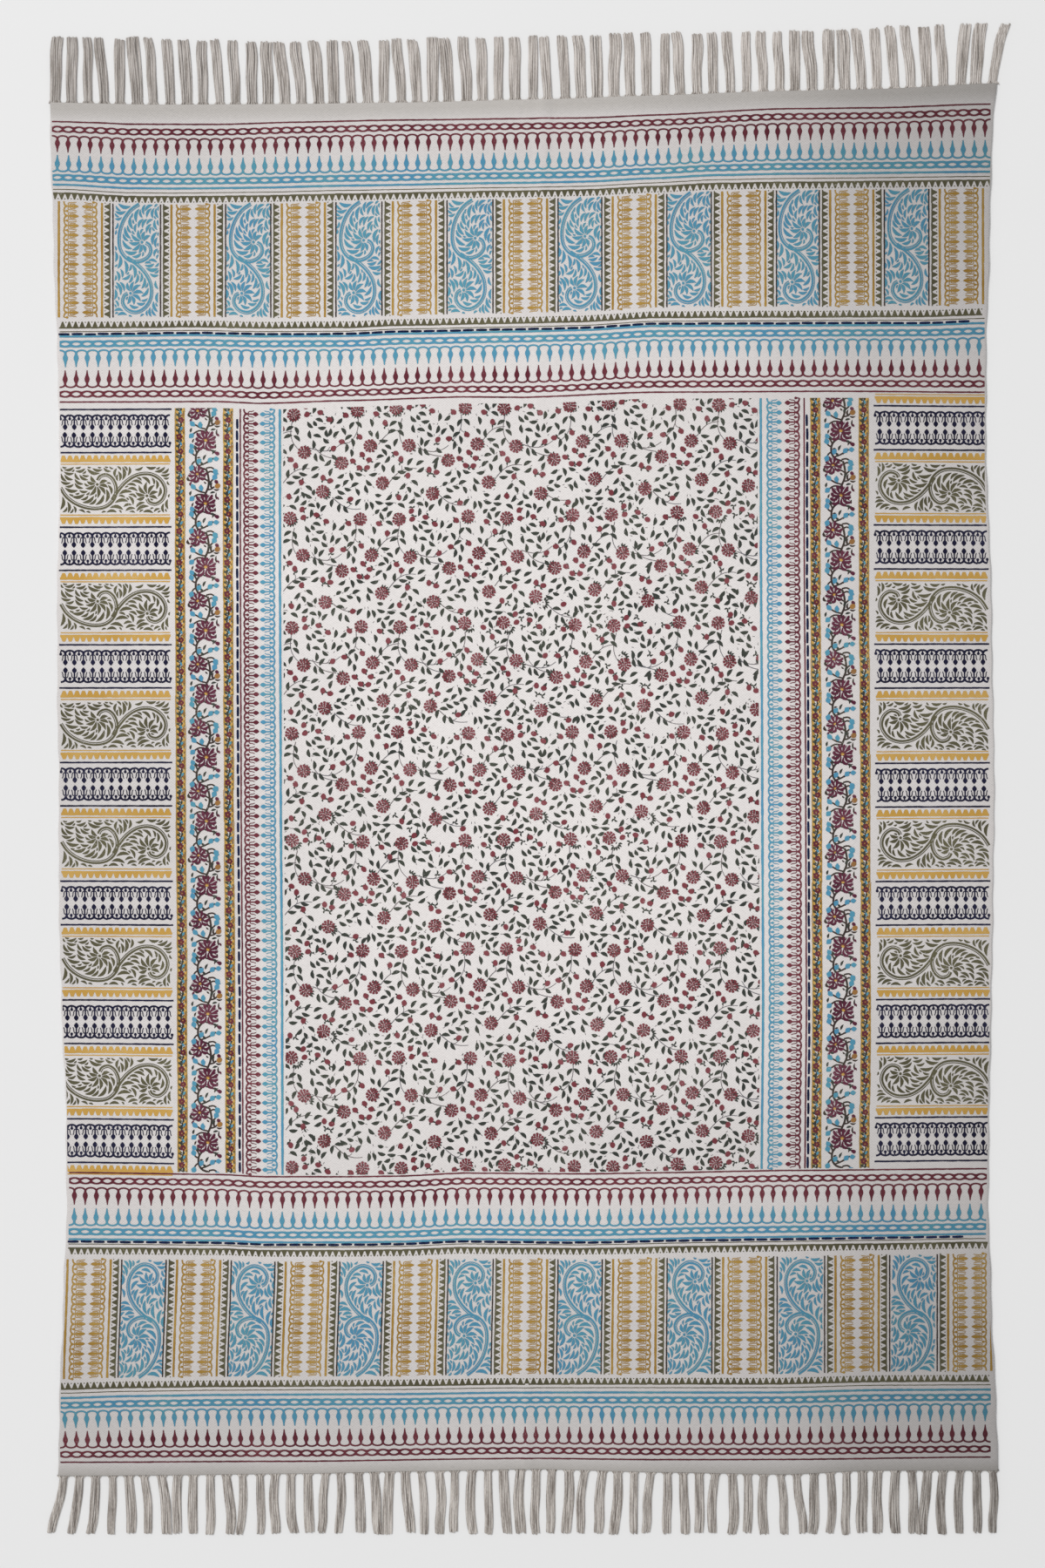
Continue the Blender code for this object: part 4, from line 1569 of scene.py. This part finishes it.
def cloth_piece(material):
    """The sheet, as it lies, a closed piece with soft edges."""
    fine = np.arange(0, FOLD_REACH, FOLD_COLUMN)
    plain = np.arange(FOLD_REACH, HALF_WIDE, COLUMN)
    half = np.concatenate([fine, plain, [HALF_WIDE]]) / (2 * HALF_WIDE)
    shares = np.concatenate([-half[:0:-1], half]) + 0.5
    rows = round((FAR_END[4][1] - NEAR_END[4][1]) / ROW)
    u, v = np.meshgrid(shares, np.linspace(0, 1, rows + 1))
    u, v = u.ravel(), v.ravel()
    x, y = cloth_place(u, v)
    ragged = EDGE_UNEVEN * (np.sin(y / 9.0) + 0.7 * np.sin(y / 23.0 + 1))
    x = x + np.where(u < 1e-6, ragged, 0) + np.where(u > 1 - 1e-6, -ragged, 0)
    z = cloth_rise(x, y)
    places = np.stack([x, y, z], axis=1) * MM
    count = len(shares)
    faces = [
        (i, i + 1, i + 1 + count, i + count)
        for row in range(rows) for i in range(row * count, row * count + count - 1)
    ]
    mesh = bpy.data.meshes.new("sheet")
    mesh.from_pydata(places.tolist(), [], faces)
    obj = new_object("sheet", mesh)
    solid = obj.modifiers.new("thickness", "SOLIDIFY")
    solid.thickness = CLOTH_THICK * MM
    solid.offset = 1
    rounding = obj.modifiers.new("soft edge", "BEVEL")
    rounding.width = EDGE_BEVEL * MM
    rounding.segments = 2
    rounding.limit_method = "ANGLE"
    rounding.angle_limit = 1.0
    final = finished_mesh(obj)
    put_material(final, material)
    final.shade_smooth()
    add_hem(final)
    planar_map(final)
    return new_object("woven_cloth", final)


def add_hem(mesh):
    """Marks how far each point is in an end hem."""
    x, y = (places_of(mesh)[:, :2] / MM).T
    far = smooth_at(FAR_END, x) - y
    near = y - smooth_at(NEAR_END, x)
    hem = np.clip((FAR_HEM - far) / HEM_FADE, 0, 1) + np.clip((NEAR_HEM - near) / HEM_FADE, 0, 1)
    mesh.attributes.new("hem", "FLOAT", "POINT").data.foreach_set("value", hem.astype(np.float32))


def stitch_drawing():
    """One running stitch along x: a thick thread that comes up, lies on the cloth and goes down."""
    rings = 7
    sides = 8
    bm = bmesh.new()
    loops = []
    for i in range(rings):
        share = i / (rings - 1)
        x = (share - 0.5) * STITCH_LONG
        swell = math.sin(math.pi * (0.12 + 0.76 * share)) ** 0.25
        loops.append([
            bm.verts.new((x, math.cos(a) * swell * STITCH_THICK / 2,
                          0.5 * swell + math.sin(a) * swell * 0.9 - 0.5 * (1 - swell)))
            for a in (2 * math.pi * side / sides for side in range(sides))
        ])
    for one, two in zip(loops, loops[1:]):
        for side in range(sides):
            after = (side + 1) % sides
            bm.faces.new((one[side], one[after], two[after], two[side]))
    bm.faces.new(loops[0])
    bm.faces.new(loops[-1][::-1])
    bmesh.ops.recalc_face_normals(bm, faces=bm.faces[:])
    return new_object("stitch", new_mesh("stitch", bm))


def stitch_piece(tree, material):
    """The running stitches: two rows across the rug and two along the field."""
    stitch = stitch_drawing()
    bm = bmesh.new()
    rows = []
    for band in BANDS:
        if band.stitch:
            y = band.red_line + band.way * band.stitch
            length = band.right - band.left - BAND_ROW_SHORT
            rows.append(((band.left + BAND_ROW_START, y), STITCH_PITCH, length, 0.0))
    for long in (LEFT_LONG, RIGHT_LONG):
        length = COLUMN_TOP - COLUMN_BOTTOM - COLUMN_ROW_SHORT
        first = (long.stitch, COLUMN_BOTTOM + COLUMN_ROW_START)
        rows.append((first, long.stitch_pitch, length, QUARTER))
    for index, (first, pitch, length, turn) in enumerate(rows):
        step = turned((pitch, 0), turn)
        mesh = run_tree(tree, {
            "Block": stitch, "Count": int(length / pitch), "Step": (*step, 0.0), "Rows": 1,
            "Row step": (0.0, 0.0, 0.0), "First": (*first, 0.0), "Turn": turn,
            "Size": (pitch / STITCH_PITCH, 1.0, 1.0), "Stray": STITCH_STRAY,
            "Seed": STITCH_SEED + index, "Ink": material,
        })
        bm.from_mesh(mesh)
        bpy.data.meshes.remove(mesh)
    bpy.data.objects.remove(stitch)
    mesh = new_mesh("running_stitches", bm)
    lay_on_cloth(mesh)
    put_material(mesh, material)
    mesh.shade_smooth()
    return new_object("running_stitches", mesh)


def lock_share(step):
    """Width of a bundle at a step along it, as the part's source has it."""
    along = step / LOCK_STEPS
    return 0.72 + 0.28 * math.sin(math.pi * min(1.0, 0.12 + along * 0.62))


def lock_routes(end):
    """The foot line of each bundle of one end, left to right, as the part's source has them."""
    rng = random.Random(end.seed)
    first = end.edge[0][0] + LOCK_WIDTH / 2
    last = end.edge[-1][0] - LOCK_WIDTH / 2
    routes = []
    for index in range(LOCK_COUNT):
        root_x = first + (last - first) * index / (LOCK_COUNT - 1)
        if 0 < index < LOCK_COUNT - 1:
            root_x += rng.uniform(-LOCK_JITTER, LOCK_JITTER)
        root_y = float(smooth_at(end.edge, root_x)) + end.outward * (GAP + STRIP_WIDTH / 2)
        tip_x = root_x + float(smooth_at(end.lean, root_x)) + rng.uniform(-LOCK_SWAY, LOCK_SWAY)
        tip_y = float(smooth_at(end.cut, tip_x)) - end.outward * rng.uniform(0, LOCK_UNEVEN)
        bend = rng.uniform(-0.5, 0.5) * LOCK_SWAY
        route = []
        for step in range(LOCK_STEPS + 1):
            along = step / LOCK_STEPS
            x = root_x + (tip_x - root_x) * along ** 1.4
            x += bend * math.sin(2 * math.pi * along) * along
            if routes:
                x = max(x, routes[-1][step][0] + LOCK_WIDTH * lock_share(step) + LOCK_APART)
            route.append((x, root_y + (tip_y - root_y) * along))
        routes.append(route)
    return routes


def yarn_tree():
    """Geometry nodes that turn yarn paths into round yarns."""
    tree, given, result = new_group("yarns along paths", "GeometryNodeTree", (
        ("Geometry", "NodeSocketGeometry", None), ("Radius", "NodeSocketFloat", 0.001),
        ("Sides", "NodeSocketInt", 6), ("Yarn", "NodeSocketMaterial", None),
    ), (("Geometry", "NodeSocketGeometry"),))
    section = add_node(tree, "GeometryNodeCurvePrimitiveCircle", {
        "Resolution": given["Sides"], "Radius": given["Radius"],
    })
    taper = tree.nodes.new("GeometryNodeInputRadius")
    tube = add_node(tree, "GeometryNodeCurveToMesh", {
        "Curve": given["Geometry"], "Profile Curve": section.outputs[0], "Fill Caps": True,
        "Scale": taper.outputs[0],
    })
    real = add_node(tree, "GeometryNodeRealizeInstances", {"Geometry": tube.outputs[0]})
    coloured = add_node(tree, "GeometryNodeSetMaterial", {
        "Geometry": real.outputs[0], "Material": given["Yarn"],
    })
    tree.links.new(coloured.outputs[0], result[0])
    return tree


def fringe_piece(name, end, tree, material):
    """One fringe: the warp yarns, gathered in bundles at the cloth's edge."""
    curve = bpy.data.curves.new(name, "CURVE")
    curve.dimensions = "3D"
    rng = random.Random(end.seed + 100)
    tangle = random.Random(end.seed + 200)
    for route in lock_routes(end):
        path = smooth(route, 2)
        full = rng.uniform(*BUNDLE_FULL) * end.fullness
        swing = tangle.uniform(-end.stray, end.stray)
        curl = tangle.uniform(-end.stray, end.stray)
        for yarn in range(YARNS):
            across = (yarn + 0.5 + rng.uniform(-YARN_ASTRAY, YARN_ASTRAY)) / YARNS - 0.5
            layer = yarn % 2
            sway = rng.uniform(-YARN_SWAY, YARN_SWAY)
            short = rng.uniform(0, YARN_SHORT)
            thick = rng.uniform(*YARN_SHARES)
            spline = curve.splines.new("POLY")
            spline.points.add(len(path))
            edge_y = float(smooth_at(end.edge, path[0][0])) - end.outward * ROOT_UNDER
            points = [(path[0][0] + across * LOCK_WIDTH * ROOT_SPREAD, edge_y, ROOT_HIGH)]
            for i, (x, y) in enumerate(path):
                share = i / (len(path) - 1)
                wide = full * (LOCK_WIDTH - YARN_THICK) * lock_share(share * LOCK_STEPS)
                px = x + across * wide + sway * math.sin(3 * share + yarn) * share
                px += swing * share + curl * math.sin(math.pi * share)
                py = path[0][1] + (y - path[0][1]) * (1 - short * share)
                lift = 1.2 + layer * 1.7 * (1 - 0.4 * share) + 0.5 * math.sin(5 * share + 2 * yarn)
                points.append((px, py, max(lift, YARN_THICK / 2 * thick)))
            for point, (px, py, pz) in zip(spline.points, points):
                point.co = (px * MM, py * MM, pz * MM, 1)
                point.radius = thick
            spline.points[0].radius = ROOT_TAPER
            spline.points[-1].radius = TIP_TAPER * thick
    settings = {"Radius": YARN_THICK / 2 * MM, "Sides": YARN_SIDES, "Yarn": material}
    mesh = run_tree(tree, settings, new_object(name, curve))
    mesh.shade_smooth()
    return new_object(name, mesh)


# The studio


def floor_piece():
    """A plain pale floor."""
    bpy.ops.mesh.primitive_plane_add(size=14, location=(0, 0, 0))
    floor = bpy.context.active_object
    floor.name = "studio_floor"
    material, _, shader, _ = new_material("pale floor", 0.9)
    shader.inputs["Base Color"].default_value = colour(233, 233, 233)
    floor.data.materials.append(material)
    return floor


def add_light(name, place, size, power):
    """A soft square lamp that looks at the rug."""
    lamp = bpy.data.lights.new(name, "AREA")
    lamp.shape = "SQUARE"
    lamp.size = size
    lamp.energy = power
    obj = new_object(name, lamp)
    obj.location = place
    direction = -obj.location
    obj.rotation_euler = direction.to_track_quat("-Z", "Y").to_euler()


def studio():
    """Camera, lamps and the pale surroundings."""
    camera = bpy.data.cameras.new("camera")
    camera.sensor_width = SENSOR
    camera.lens = SENSOR * CAMERA_UP / (VIEW_HIGH * MM)
    obj = new_object("camera", camera)
    obj.location = (VIEW_MIDDLE[0] * MM, VIEW_MIDDLE[1] * MM, CAMERA_UP)
    bpy.context.scene.camera = obj
    for lamp in LAMPS:
        add_light(*lamp)
    world = bpy.data.worlds.new("studio")
    world.use_nodes = True
    background = world.node_tree.nodes["Background"]
    set_inputs(world.node_tree, background, {"Color": (1, 1, 1, 1), "Strength": SURROUNDINGS})
    bpy.context.scene.world = world
    bpy.context.scene.view_settings.view_transform = "Standard"


studio()
# The third group paints the shade of the light's fall-off over the cotton, and a shadow at its left
groups = {"weave": weave_group(), "ink": ink_group(), "painted_falloff": painted_shade_group()}
cloth = cloth_piece(cloth_material(groups))
inks = {
    name: ink_material(name, groups, full, thin, wear)
    for name, (full, thin, wear) in INKS.items()
}
skins = [
    ink_piece(name + "_print", bed, inks[name], INK_LIFT + INK_LIFT_STEP * index)
    for index, (name, bed) in enumerate(print_all(inks).items())
]
stitches = stitch_piece(
    repeat_tree(), yarn_material("navy thread", colour(10, 16, 40), colour(26, 38, 76)))
# Each warp yarn's last table is painted light and shade across the rug: the far yarns lighter right of
# the middle and darker at both sides, the near ones darker towards the right and a little at the left
far_warp = yarn_material("far warp yarn", colour(142, 134, 127), colour(202, 196, 191),
                         ((-0.40, -0.60, 0.91), (-0.45, 0.10, 1.13), (0.45, 0.62, 0.92)))
near_warp = yarn_material("near warp yarn", colour(128, 119, 112), colour(206, 200, 194),
                          ((0.10, 0.46, 0.84), (0.46, 0.62, 0.76), (-0.45, -0.62, 0.94)))
yarns = yarn_tree()
far_fringe = fringe_piece("far_warp_fringe", FAR, yarns, far_warp)
near_fringe = fringe_piece("near_warp_fringe", NEAR, yarns, near_warp)
floor = floor_piece()

for piece in (cloth, *skins, stitches):
    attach(piece, "root")
for piece in (far_fringe, near_fringe):
    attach(piece, "root")
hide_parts("rug_cloth")
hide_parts("fringe_far")
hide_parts("fringe_near")
